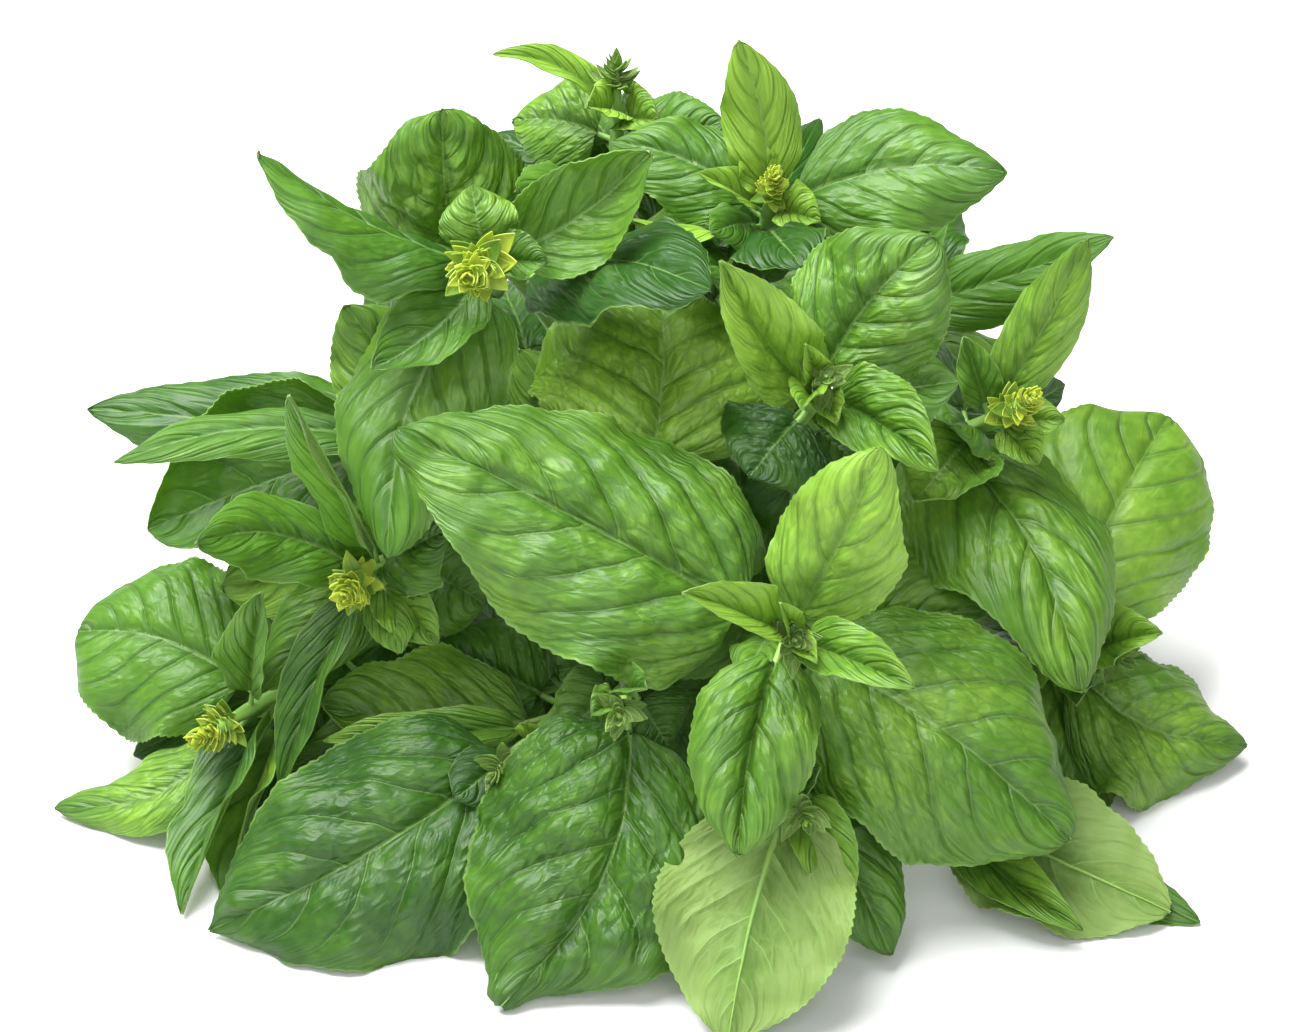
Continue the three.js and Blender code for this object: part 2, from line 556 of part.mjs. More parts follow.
// A flower spike: whorls of pointed bracts round a core, opening less towards the top.
function spikeMesh(sprig) {
  const [length, width] = sprig.spike;
  const aim = vector(sprig.aim).normalize();
  const core = new THREE.SphereGeometry(1, CORE_SIDES, CORE_STEPS);
  core.rotateX(Math.PI / 2);
  core.scale(width * CORE_SHARE, width * CORE_SHARE, length * CORE_REACH);
  core.translate(0, 0, length * CORE_REACH);
  let solid = solidOfGeometry(core);
  for (let whorl = 0; whorl < SPIKE_WHORLS; whorl += 1) {
    const height = whorl / (SPIKE_WHORLS - 1);
    for (let place = 0; place < BRACTS_PER_WHORL; place += 1) {
      const azimuth = ((place + whorl / 2) * 2 * Math.PI) / BRACTS_PER_WHORL;
      solid = solid.add(bractSolid(length, width, height, azimuth));
    }
  }
  const mesh = meshOfSolid(`flower_spike_${sprig.name}`, solid, SPIKE_GREEN, 0.6);
  mesh.position.copy(vector(sprig.head)).addScaledVector(aim, SPIKE_GAP);
  mesh.quaternion.setFromUnitVectors(new THREE.Vector3(0, 0, 1), aim);
  return mesh;
}

// A bract is a flattened three-sided cone, rooted in the core and leaning out.
function bractSolid(length, width, height, azimuth) {
  const size = width * THREE.MathUtils.lerp(BRACT_LOWEST.size, BRACT_TOP.size, height);
  const lean = radians(THREE.MathUtils.lerp(BRACT_LOWEST.lean, BRACT_TOP.lean, height));
  const level = length * THREE.MathUtils.lerp(BRACT_LOWEST.level, BRACT_TOP.level, height);
  const bract = new THREE.ConeGeometry(size * BRACT_BREADTH, size, 3);
  bract.rotateX(Math.PI / 2);
  bract.scale(1, BRACT_FLATNESS, 1);
  bract.translate(0, 0, size / 2 + width * BRACT_ROOT);
  bract.rotateX(-lean);
  bract.rotateZ(azimuth);
  bract.translate(0, 0, level);
  return solidOfGeometry(bract);
}

// The band: a flat elastic ring round the outermost stems, with softened edges.
function bandMesh() {
  const inner = 2 * RING_PITCH + STEM_RADIUS + BAND_GAP;
  const outer = inner + BAND_THICKNESS;
  const half = BAND_WIDTH / 2;
  const soft = BAND_THICKNESS / 3;
  const profile = [
    [inner, -half],
    [outer - soft, -half],
    [outer, 0],
    [outer - soft, half],
    [inner, half],
    [inner, -half],
  ].map(([radius, height]) => new THREE.Vector2(radius, height));
  const geometry = new THREE.LatheGeometry(profile, BAND_FACETS);
  const mesh = meshOfSolid("band", solidOfGeometry(geometry), BAND_COLOUR, 0.7);
  mesh.position.copy(BAND_CENTRE);
  return mesh;
}

const bunch = new THREE.Group();
bunch.position.copy(ORIGIN).negate();
bunch.add(bandMesh());
SPRIGS.forEach((sprig, index) => {
  bunch.add(sprigMesh(sprig, index));
  if (sprig.spike) bunch.add(spikeMesh(sprig));
});

const part = new THREE.Group();
part.add(bunch);

export default part;
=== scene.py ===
"""A bunch of cut sweet basil, lying on its side: leafy stems that fan out of a band, some of
them with a flower spike in bud. It replaces the plain solids with veined, blistered leaves."""

import collections
import math

import bpy
import mathutils
import numpy as np
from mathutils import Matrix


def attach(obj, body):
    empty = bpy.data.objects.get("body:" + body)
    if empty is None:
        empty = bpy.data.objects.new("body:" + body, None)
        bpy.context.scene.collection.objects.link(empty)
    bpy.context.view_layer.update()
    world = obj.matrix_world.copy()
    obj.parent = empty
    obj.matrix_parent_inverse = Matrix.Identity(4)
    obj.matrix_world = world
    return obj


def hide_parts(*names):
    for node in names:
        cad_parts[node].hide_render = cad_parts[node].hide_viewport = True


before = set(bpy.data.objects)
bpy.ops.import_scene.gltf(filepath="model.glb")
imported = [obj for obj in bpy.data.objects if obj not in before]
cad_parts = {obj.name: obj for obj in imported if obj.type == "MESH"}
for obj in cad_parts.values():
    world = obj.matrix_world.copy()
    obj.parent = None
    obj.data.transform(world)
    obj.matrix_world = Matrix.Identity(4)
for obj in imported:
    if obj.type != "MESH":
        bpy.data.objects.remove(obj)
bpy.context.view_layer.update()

bl_info = {
    "name": "Basil bunch",
    "version": (1, 0, 0),
    "blender": (4, 5, 0),
    "location": "View3D > Sidebar > Basil",
    "description": "The leafy stems, flower spikes and band of a bunch of sweet basil",
    "category": "Object",
}

# Lengths are in millimetres until a mesh is made. The bunch's own origin is under the heart of
# the leaves, and ORIGIN is where the part's origin lies in it. Edges that turn by more than
# SHARP_ANGLE degrees are sharp.
MM = 0.001
ORIGIN = np.array([0.0, 56.0, 0.0])
FULL_TURN = 2 * math.pi
SHARP_ANGLE = 62

# Stems, as in the part's source
STEM_STEPS = 7
RING_PITCH = 5.4
CUT_STAGGER = 3.0
CUT_LENGTHS = 4
BAND_CENTRE = np.array([0.0, 150.0, 15.5])
CUT_Y = 215.0
KNEE_Y = 176.0
STEM_RADIUS = 2.4
STEM_TIP_RADIUS = 1.5

# Leaves, as in the part's source
STALK_SHARE = 0.08
STALK_LENGTH = 3.0
STALK_HALF_WIDTH = 0.8
OUTLINE_POWER = 0.5
TIP_HALF_WIDTH = 0.35
RIPPLE, RIPPLE_WAVES = 0.10, 2.3
ORDER_PHASE = 1.7

# The finer form of the stems
STEM_SIDES = 24
STEM_SQUARENESS = 0.07
STEM_SMOOTH_STEPS = 24
NODE_SWELL = 0.16
NODE_LENGTH = 2.2

# The finer form of the leaves. LEAF_STEPS holds a least width, and the rows and columns from
# that width on. Side veins are counted by a lean, a curve and an ease towards the tip, and
# VEIN_STEP puts the two halves out of step. A blade under FULL_WIDTH has weaker teeth and
# blisters, and one under GROOVE_FULL_WIDTH a weaker groove.
BLADE_THICKNESS = 0.55
MARGIN_THINNING = 0.6
LYING_THICKNESS = 0.5
LEAF_STEPS = ((44, 84, 44), (36, 72, 36), (24, 48, 24), (12, 30, 16), (0, 18, 10))
ROWS_PER_TOOTH = 3
TOOTH_LENGTH = 0.5
FULL_WIDTH = 40
FRILL, FRILL_WAVES = 0.035, 5.3
ROLL, ROLL_WAVES = 0.14, 1.6
VEIN_LEAN = 0.34
VEIN_CURVE = 0.30
VEIN_EASE = 0.35
VEIN_STEP = 0.45
VEINS_LARGE, VEINS_SMALL = 5.5, 4.5
LARGE_WIDTH = 36
BULGE = 0.05
BULGE_ROUNDNESS = 0.75
LUMPS, LUMP_WAVES = 0.10, 2.3
BLISTER_LENGTHS = (28.0, 17.0, 10.0)
BLISTER_HEIGHT = 0.030
BLISTER_STRETCH = 1.3
GROOVE, GROOVE_WIDTH = 1.0, 1.6
GROOVE_FULL_WIDTH = 30
MIDRIB_DEPTH = 0.55
MIDRIB_TIP = 0.15
STALK_RADIUS = 0.85
STALK_STEPS = 6
RIB_SIDES = 8
LEAF_SLOT, STEM_SLOT = 0, 1

# The look of the leaves' relief, and the painted shade that darkens its grooves and fine creases
CELLS_BETWEEN_VEINS, CELLS_ALONG_VEIN = 2.2, 0.36
WRINKLES_BETWEEN_VEINS, WRINKLES_ALONG_VEIN = 6.0, 0.22
VEIN_WANDER = 0.34
# Painted shade: how far the grooves of grown and young leaves, and the creases of the cell net,
# are darkened
GROOVE_PAINTED_SHADE, YOUNG_GROOVE_PAINTED_SHADE = 0.45, 0.24
CELL_PAINTED_SHADE = 0.26
RELIEF_STRENGTH, RELIEF_HEIGHT = 0.6, 0.001
FINE_STRENGTH, FINE_HEIGHT = 0.3, 0.0003
BRACT_GLOW = (0.6, 0.7, 0.05)

# Flower spikes, and the tips of the stems that don't flower
SPIKE_WHORLS = 11
BRACTS_PER_WHORL = 9
OUTER_BRACTS = 4
CORE_REACH = 0.8
CORE_WIDTH, CORE_TIP_WIDTH = 0.17, 0.04
CORE_SIDES = 8
CORE_TONE = 0.3
SHOOT_LEAFLETS = 20
SHOOT_TURN = 2.0
SHOOT_REACH = 11.0
SHOOT_END_RADIUS = 0.4
BRACT_ROWS, BRACT_COLUMNS = 6, 4
BRACT_THICKNESS = 0.25
BRACT_CUP = 0.35
BRACT_ARCH = 0.16
BRACT_VEINS = 3.0

# Band
BAND_RADIUS = 14.3
BAND_HALF_WIDTH = 2.5
BAND_HALF_THICKNESS = 0.7
BAND_STEPS, BAND_SECTION_STEPS = 120, 16
BAND_WOBBLE = 0.12
BAND_UNEVENNESS = 0.04

# Stage, in metres. A light has a place, a size and a share of the power.
FLOOR_REACH = 4.0
CAMERA_TARGET = (0.0, -0.056, 0.0705)
LIT_POINT = (0.0, -0.02, 0.06)
LIGHTS = (
    ("overhead_light", (-0.35, 0.10, 1.05), 0.9, 1.0),
    ("front_light", (0.15, -1.2, 0.9), 1.4, 0.38),
)

# How a blade is formed: the angle at which its halves rise from the midrib, the angle at the
# margin, how far from the stalk it is widest (1 is halfway, less is nearer the stalk), and how
# sharp its tip is.
FORMS = {
    "domed": (16, -44, 0.72, 0.30),
    "broad": (16, -44, 0.60, 0.20),
    "full": (14, -50, 0.86, 0.22),
    "pointed": (16, -50, 0.78, 0.42),
    "round": (12, -46, 0.92, 0.02),
    "flat": (8, -16, 0.80, 0.20),
    "folded": (46, 26, 0.72, 0.35),
    "pleat": (52, -62, 0.72, 0.30),
    "spoon": (4, 52, 0.72, 0.30),
    "cup": (-4, 78, 0.82, 0.10),
    "droop": (0, -78, 0.72, 0.24),
}

# What the small leaves low on the stems share: bend, sway, form, tone and blister. Their dark tone
# is painted shade deep inside the bunch.
INNER_LOOK = "25 0 domed -0.9 0.7"


# ---- Shapes

def unit(values):
    """The same direction with a length of one."""
    values = np.asarray(values, float)
    return values / np.linalg.norm(values, axis=-1, keepdims=True)


Leaf = collections.namedtuple("Leaf", "below tip width face bend sway form tone blister")


def read_leaves(table, look=""):
    """The leaves of a table with one leaf a line; look completes each line.

    Each leaf is: how far below the stem's head it leaves the stem, its tip (x y z), its width,
    the way that its upper side faces (x y z), the bend of its midrib in degrees, its sideways
    sway in percent, its form, its tone from -1, old and dark, to 1, young and pale, which also
    carries painted light and shade, and how blistered it is."""
    leaves = []
    for row in table.strip().splitlines():
        *numbers, form, tone, blister = f"{row} {look}".split()
        n = np.array(numbers, float)
        leaves.append(Leaf(n[0], n[1:4], n[4], n[5:8], n[8], n[9], form, float(tone),
                           float(blister)))
    return leaves


class Stem:
    """One leafy stem. slot is its ring in the band and its direction round it in degrees, head
    its top, aim the way it points there, inner its small leaves that the plain solids leave out,
    run how far it keeps its direction at the band and at the top, as shares of the distance
    between them, and spike a flower spike's length and width."""

    def __init__(self, name, slot, head, aim, leaves, inner="", run=(0.38, 0.3), spike=None):
        self.name, self.slot, self.run, self.spike = name, slot, run, spike
        self.head, self.aim = np.array(head, float), unit(aim)
        self.leaves, self.inner = read_leaves(leaves), read_leaves(inner, INNER_LOOK)


# Besides a leaf's age, its tone carries painted light and shade: leaves deep in the gaps are
# darkened to stand in for shade, and others are lightened for the light that falls on them.
STEMS = [
    Stem("front", (1, 306), (30, -52, 74), (0.05, -0.8, 0.55), """
    20 -57 -18 106 60 -1 -7 10 25 0 broad 0.23 1.3
    22 93 -60 24 62 4 -10 10 48 -1 full 0.2 1.1
    11 49 -42 118 31 -1 -10 10 25 3 domed 0.82 0.8
    11 18 -85 39 33 -1 -10 7 40 4 pleat 0.27 1.1
    4 56 -74 77 16 0 -8 10 25 0 folded 0.43 0.6
    4 6 -72 101 14 0 -8 10 25 0 folded 1.16 0.6
    2 27 -62 91 7 0 -8 10 20 0 folded 1.12 0.5
    2 35 -66 78 7 0 -8 10 20 0 folded 1.13 0.5
    30 21 -50 64 15 -3 -10 10 20 0 domed 0.34 0.5
    48 -15 -40 66 28 -3 -10 10 46 0 domed 0.05 1
    48 75.9 -15.2 53.9 38 3 -10 10 30 0 domed 0.4 1
    """),
    Stem("upper_front", (1, 18), (37, -11, 113), (0.05, -0.65, 0.7), """
    14 62 6 142 40 1 -8 10 30 -6 full 0.28 1.2
    10 14 -14 148 24 0 -10 9 15 -4 folded 0.92 0.8
    9 62 -32 105 24 1 -10 10 25 -5 folded 0.41 1
    5 32 -30 120 11 -2 -8 10 20 0 folded 0.89 0.5
    22 68 -4 110 28 2 -5 10 25 0 domed 0.05 1
    18 21 -14 91 32 -3 -10 10 25 0 domed -0.77 1
    3 33 -18 129 9 0 -10 10 20 0 folded 1.4 0.5
    3 40 -24 112 9 0 -10 10 20 0 folded 1.07 0.5
    30 30 0 62 26 1 -8 10 20 0 domed -0.65 1
    28 50 -2 82 26 2 -8 10 20 0 domed -0.3 1
    """, """
    96 26.9 43.9 15.7 18 0 -5 9
    18 32.9 -2.8 111.5 7 5 -6 4
    """),
    Stem("upper_left", (1, 162), (-39, 8, 134), (-0.1, -0.9, 0.35), """
    12 -1 22 154 27 1 -10 7 -15 6 spoon 0.23 0.8
    8 -41 18 148 19 -1 -8 10 80 0 domed 0.42 0.8
    16 -88 16 158 32 2 1 10 -20 -6 droop -0.36 0.7
    14 -63 -5 114 22 -1 -8 10 -15 -6 spoon -0.15 0.8
    18 -60 -24 76 42 -5 -10 10 23 9 domed 0.11 0.5
    6 -24 9.3 133.2 14 2 -8 10 20 0 folded -0.08 0.7
    36 12 -10 138 34 1 -5 10 22 -6 domed -1 1
    """, """
    72 -25 48.2 105.3 11 0 -5 9
    42 1.6 50.9 96.3 18 5 -6 4
    """, spike=(23, 24)),
    Stem("top", (1, 90), (27, 44, 130), (0, -0.5, 0.8), """
    8 19 52 166 19 1 -10 7 10 5 domed 1.4 0.6
    8 81 44 136 34 0 -8 10 30 -8 domed -0.17 0.7
    12 -10 58.4 135.7 26 0 -7 10 36 8 domed 0.01 0.7
    20 -7.1 33.4 130.3 15 0 3 10 -4 -4 domed 1.17 0.5
    18 33 14 129 26 0 -8 10 46 2 domed -1 0.8
    30 8 19 127 28 0 -7 10 -4 -4 domed -0.4 0.9
    6 21.1 52.3 140.5 12 0 -8 10 4 0 folded 1.12 0.5
    6 38.2 38.3 126.4 14 0 -8 10 20 0 folded 0.92 0.5
    9 10 42 137 10 0 -5 10 15 0 folded 1.06 0.5
    14 13 32 127 15 0 -7 10 20 2 domed -0.27 0.5
    40 45 95 100 34 3 8 5 40 0 domed -0.3 1
    """, """
    48 38.9 71.9 134.1 24 -5 -6 4
    60 -5.8 96.1 102.1 20 -5 -6 4
    """, run=(0.42, 0.3), spike=(13, 13)),
    Stem("right", (2, 25), (81, 15, 89), (0.35, -0.6, 0.7), """
    9 97.5 20.2 132.4 17 0 -10 7 -1 2 domed 0.7 1.3
    14 59 -6 79 28 0 -7 10 -20 0 spoon 0.4 0.8
    44 97 -35 46 50 4 -8 10 82 -2 domed 0.21 0.9
    8 71 24 104 12 0 -10 10 15 0 folded 0.27 0.7
    6 88.4 8.1 79.2 13 0 -8 10 20 0 folded 0.83 0.7
    8 94.5 16.1 86.2 13 0 -10 10 15 0 folded 0.7 0.6
    16 68 8 90 25 0 -8 10 20 0 domed -0.11 0.8
    45 95 60 60 32 6 6 5 40 0 domed -0.54 1
    """, """
    18 68 52.5 83.9 13 5 -6 4
    6 96.4 37.1 82.3 12 5 -6 4
    72 86.7 68.2 47.8 20 -5 -6 4
    6 77.9 35.8 79.2 8 5 -6 4
    """, run=(0.33, 0.3), spike=(18, 17)),
    Stem("right_low", (2, 352), (102, 0, 31), (0.75, -0.55, 0.35), """
    10 124 54 62 57 3 -10 10 70 -6 round 0.62 0.35
    12 141 -2 5 45 2 -5 10 38 18 pointed 0.32 1.1
    4 117 -12 46 19 2 -8 10 20 0 folded 0.83 0.6
    4 98 -16 28 12 -2 -8 10 20 0 folded -0.21 1
    30 118 38 20 34 8 4 5 40 0 domed -0.3 1
    16 106 -20 -1 34 1 -8 10 30 0 domed 0.4 1
    32 82 -25 36 30 0 -8 10 30 0 domed 0.27 1
    """, """
    18 78.3 30.3 20 11 0 -5 9
    72 20 28.2 14.6 16 -5 -6 4
    """),
    Stem("left", (1, 234), (-68, -14, 62), (-0.2, -0.9, 0.3), """
    8 -102 -29.9 84.2 22 0 -8 10 -12 12 domed 0.01 1.1
    8 -49.5 -22 50 16 0 -10 9 7 0 folded 0.4 0.6
    14 -77 -57 141 15 -4 -10 9 -2 0 folded -0.02 0.5
    10 -86 -34 17 15 -7 -10 10 25 2 folded -0.43 0.6
    34 -101.1 -0.8 50.1 32 0 -8 10 30 0 domed 0.65 0.9
    12 -45.9 -17.2 78.9 24 2 -8 10 36 0 domed -0.29 1
    24 -39 -8 51 36 0 -10 10 12 -2 domed -0.15 1
    14 -58 -28 52 13 0 -10 10 20 0 domed 0.4 0.8
    22 -91.1 -16.8 33.1 22 0 -10 10 60 0 domed 0.41 1
    """, """
    30 -72.3 25.2 56.4 8 0 -5 9
    """, run=(0.33, 0.3), spike=(14, 18)),
    Stem("lower_left", (2, 189), (-99, -21, 27), (-0.5, -0.8, 0.2), """
    14 -137 10 30 50 0 -8 10 60 8 round 0.03 0.7
    10 -141 -22 2 21 0 -4 10 10 -18 domed 0.35 1.4
    20 -108 -60 2 21 -9 -6 10 14 0 folded -0.48 0.5
    8 -90 -14 59 16 -5 -10 7 15 0 folded 0.17 0.8
    30 -99 -52 1 27 -9 -6 10 -2 4 folded 0.4 0.5
    32 -128 28 18 32 -7 5 6 40 0 domed -0.4 1
    """, """
    72 -85.5 8.1 3.3 30 0 -5 9
    30 -123.8 -5.3 4.8 22 0 -5 9
    60 -20.7 12.6 10.9 23 0 -8 6
    30 -92.6 -23.7 2.9 17 0 -8 6
    42 -43.9 -17.6 4.7 23 5 -6 4
    48 -95.9 33.1 17.8 13 0 -8 6
    """, spike=(15, 17)),
    Stem("left_upper", (2, 156), (-62, 8, 86), (-0.6, -0.5, 0.55), """
    14 -118 8 61 54 1 -8 10 -52 8 cup -0.34 0.6
    36 -135 42 72 30 0 -7 10 20 0 domed -0.66 0.6
    10 -123 -2 87 15 -1 -4 10 4 10 domed -0.14 0.7
    18 -71.2 24.5 112.4 32 -3 -10 10 36 6 domed 0.47 0.8
    38 -106 62 46 34 -6 5 6 40 0 domed -0.4 1
    """, """
    12 -66.2 51.3 105.6 23 -5 -6 4
    """, run=(0.3, 0.3)),
    Stem("front_left", (2, 254), (-7, -52, 57), (-0.1, -0.9, 0.3), """
    10 -34 -91 2 68 1 -10 10 32 -14 pointed -0.34 1.6
    12 3 -48 41 22 0 -10 10 20 0 domed -0.44 1
    16 -21 -44 40 22 -3 -10 10 12 2 domed 0.4 1
    2 -2 -62 68 10 1 -7 10 20 0 folded -0.06 1
    2 -14 -60 59 10 -1 -7 10 20 0 folded 0.27 1
    32 -23 -24 44 32 0 -8 10 20 0 domed -0.39 1
    30 10 -24 18 30 0 -10 10 20 0 domed -0.13 1
    """),
    Stem("low_left", (2, 221), (-32, -44, 35), (-0.4, -0.85, 0.2), """
    10 -101 -66 2 60 0 -8 10 63 -7 pointed -0.6 1.15
    24 -77.1 -16.8 29.1 38 0 -5 10 -26 -4 cup 0.4 0.7
    18 -76.1 -30.8 29.1 12 0 -5 10 31 -4 folded 0.54 0.6
    4 -45 -56 32 16 0 -10 10 20 0 domed -1 1
    2 -26 -40 40 9 2 -7 10 20 0 folded 1 0.5
    30 -50.1 -3.6 37.2 30 0 -10 10 12 0 domed -0.15 1
    44 -87 -18 12 26 -2 -7 10 22 0 domed 0.4 0.8
    """, """
    36 -45.2 15.7 36.2 18 0 -5 9
    90 -28.4 10.1 3.4 19 0 -5 9
    6 -42.9 -46.8 24.2 9 5 -6 4
    12 -32.5 -20.1 20.6 8 5 -6 4
    """, run=(0.47, 0.3)),
    Stem("front_low", (2, 286), (32, -66, 41), (0.1, -0.95, 0.1), """
    6 16 -103 2 44 1 8 -10 -30 -2 flat -0.08 0.8
    8 43 -80 21 17 1 -10 7 20 0 folded 0.43 0.5
    16 53 -78 5 28 4 -10 10 30 0 domed -0.2 1.1
    2 36 -70 52 9 1 -7 10 20 0 folded -0.5 1
    16 8 -60 12 30 0 -10 10 20 0 domed -0.6 1
    """, """
    54 5.2 -20.1 10.3 13 5 -6 4
    """),
    Stem("right_bottom", (2, 319), (70, -38, 13), (0.6, -0.75, 0.1), """
    10 117 -61 3 38 0 4 -10 -36 -6 flat 0.44 0.6
    14 124 -62 1 26 0 -4 10 4 0 domed 0.03 0.8
    8 96 -72 7 17 -2 -7 10 20 6 folded 0.4 0.8
    2 79 -44 22 10 1 -7 10 20 0 folded -0.5 1
    30 94 18 5 30 6 -3 6 40 0 domed -0.4 1
    """, """
    66 35.4 30.2 7.3 9 -5 -6 4
    72 38.4 31.8 2.9 7 5 -6 4
    """),
    Stem("middle", (0, 0), (-2, -10, 84), (0, -0.55, 0.75), """
    6 1 44 104 66 0 -7 10 75 4 round 0.85 1.1
    2 -6 -4 88 9 -1 -7 10 20 0 folded -0.3 0.8
    2 7 -2 85 9 1 -7 10 20 0 folded 0.6 0.5
    34 -32.2 30.2 96.3 32 -1 -7 10 22 0 domed 0.43 0.9
    8 -35 -4 86 30 -2 -8 10 20 0 domed -0.5 1
    24 28.2 11.3 65.3 36 2 -8 10 20 0 domed -0.18 1
    12 25.9 -3.6 60.2 34 2 -8 10 -4 0 domed 0.18 1
    """, run=(0.45, 0.3)),
    Stem("back_top", (2, 90), (-9, 75, 137), (0, -0.05, 0.95), """
    5 -38 80 147 9 0 -5 10 30 12 folded 0.96 0.5
    12 -34.4 91.3 122.5 24 -3 -10 9 40 6 domed 0.33 1
    14 16 70 135 26 3 -10 9 40 8 domed 0.03 0.8
    5 1 66 137 15 0 -8 10 20 0 folded 0.77 0.8
    34 -31.6 38.8 134.6 30 0 -8 10 28 -8 domed 0.23 0.8
    4 -16 64 142 14 0 -8 10 20 0 folded 1.12 0.5
    1 -5 78 141 5 0 -8 10 15 0 folded 0.9 0.4
    1 -12 80 141 5 0 -8 10 15 0 folded 0.9 0.4
    16 -20 112 112 30 -1 7 6 40 0 domed -0.05 1
    30 20 125 90 34 2 7 6 40 0 domed 0 1
    46 8 52.6 111.4 36 0 -8 10 30 0 domed 0.27 0.8
    """, """
    30 -39.6 102.4 112.2 19 0 -5 9
    30 -14.7 103.5 112 12 0 -5 9
    96 20.1 123.5 72.8 17 0 -8 6
    12 -6.4 90.4 130.3 7 5 -6 4
    60 -5.4 98.7 93.2 7 0 -8 6
    """, run=(0.3, 0.35)),
    Stem("back_left", (2, 123), (-50, 60, 100), (-0.4, 0, 0.85), """
    8 -49 54 147 46 0 -10 9 42 -2 full 0.43 1.7
    12 -66 42 80 28 -4 -8 10 30 0 domed -0.3 1
    22 -62 112 100 30 -2 7 6 40 0 domed 0.1 1
    30 -80 100 50 34 -6 7 4 40 -2 domed 0 1
    2 -40 70 114 12 2 -7 10 20 0 folded -0.4 1
    4 -62 70 122 12 0 -8 10 20 0 folded 0 1
    45 -40.2 132.2 52.4 34 -2 8 5 24 0 domed -0.75 1
    """, """
    96 -35.5 123.4 53.9 16 0 -5 9
    36 -36.6 61.2 56.8 9 0 -8 6
    102 -34.7 127.7 34.8 12 -5 -6 4
    """),
    Stem("back_right", (2, 57), (60, 68, 92), (0.4, 0, 0.85), """
    12 107 50 115 20 1 -8 10 10 3 domed -0.15 0.6
    14 70 112 95 32 3 7 6 40 0 domed -0.87 1
    26 98 92 50 34 6 7 4 40 0 domed 0.22 1
    3 52 62 106 12 -2 -8 10 20 0 folded -0.4 1
    5 70 78 108 12 0 -8 10 20 0 folded 0 1
    40 42 126 60 34 2 8 5 40 0 domed -0.02 1
    """, """
    54 43.4 78.1 40.4 9 -5 -6 4
    96 13.1 139.4 68.5 22 -5 -6 4
    72 35.8 127.5 61.4 16 5 -6 4
    """, run=(0.42, 0.3)),
]

# How far the stems sink behind the band, so that the lowest of them lie on the surface
SINK = (
    BAND_CENTRE[2] - STEM_RADIUS * math.sin(math.pi / 3)
    + RING_PITCH * min(stem.slot[0] * math.sin(math.radians(stem.slot[1])) for stem in STEMS)
)


def smooth(low, high, values):
    """Zero below low, one above high, and an S-shaped rise between them."""
    share = np.clip((values - low) / (high - low), 0.0, 1.0)
    return share * share * (3.0 - 2.0 * share)


def waves(count, share, start=0.0):
    """A sine with a number of waves in a length of one."""
    return np.sin(FULL_TURN * count * share + start)


def moved(points, *moves):
    """Points moved along each of some directions by an amount of its own."""
    for direction, amount in moves:
        points = points + direction * amount[..., None]
    return points


def bezier(points, share):
    """A cubic curve through the first and last of four points, drawn towards the other two."""
    share = share[:, None]
    a, b, c, d = points
    rest = 1.0 - share
    return rest**3 * a + 3 * rest**2 * share * b + 3 * rest * share**2 * c + share**3 * d


def distances(line):
    """How far along a line each of its points is."""
    return np.concatenate([[0.0], np.cumsum(np.linalg.norm(np.diff(line, axis=0), axis=1))])


def stem_controls(stem):
    """The four points of the curve from the band to the stem's head."""
    ring, direction = stem.slot
    angle = math.radians(direction)
    across = np.array([math.cos(angle), 0.0, math.sin(angle)])
    in_band = BAND_CENTRE + ring * RING_PITCH * across
    reach = np.linalg.norm(stem.head - in_band)
    band_run, head_run = stem.run
    return (
        in_band,
        in_band + np.array([0.0, -reach * band_run, 0.0]),
        stem.head - stem.aim * reach * head_run,
        stem.head,
    )


def point_below_head(line, distance):
    """The point of a line of points that lies a given distance back from its last one."""
    back = line[::-1]
    return np.array([np.interp(distance, distances(back), column) for column in back.T])


def stem_line(stem, index, steps):
    """A stem's centre line: level from the cut end, a soft rise into the band, then one curve."""
    controls = stem_controls(stem)
    in_band = controls[0]
    y = np.linspace(CUT_Y - CUT_STAGGER * (index % CUT_LENGTHS), BAND_CENTRE[1], steps)[:-1]
    rise = smooth(BAND_CENTRE[1], KNEE_Y, y)
    rear = np.stack([np.full_like(y, in_band[0]), y, in_band[2] - SINK * rise], axis=1)
    return np.concatenate([rear, bezier(controls, np.linspace(0.0, 1.0, 2 * steps))])


def vein_number(u, q, left, veins):
    """Counts the side veins: whole numbers lie on a vein. Side veins leave the midrib at equal
    steps and sweep towards the tip, more so further out. left is 1 on the left half."""
    sweep = q * (VEIN_LEAN + VEIN_CURVE * q) * (1.0 - VEIN_EASE * u)
    return veins * (u - sweep) + left * VEIN_STEP


def blade_grid(rows, columns):
    """A blade's coordinates: 0 to 1 from stalk to tip, and -1 to 1 from margin to margin."""
    return np.linspace(0.0, 1.0, rows + 1)[:, None], np.linspace(-1.0, 1.0, columns + 1)[None, :]


def blade_facts(u, t, half, length, seed, look):
    """The attributes of a blade: its coordinates, the same in millimetres with a seed, and
    its look, which is how blistered it is, its tone and its number of veins."""
    fill = 0 * (u + t)
    return {
        "blade": np.stack([u + fill, t + fill, fill], axis=-1),
        "spot": np.stack([half * t, length * u + fill, seed + fill], axis=-1),
        "leaf": np.stack([value + fill for value in look], axis=-1),
    }


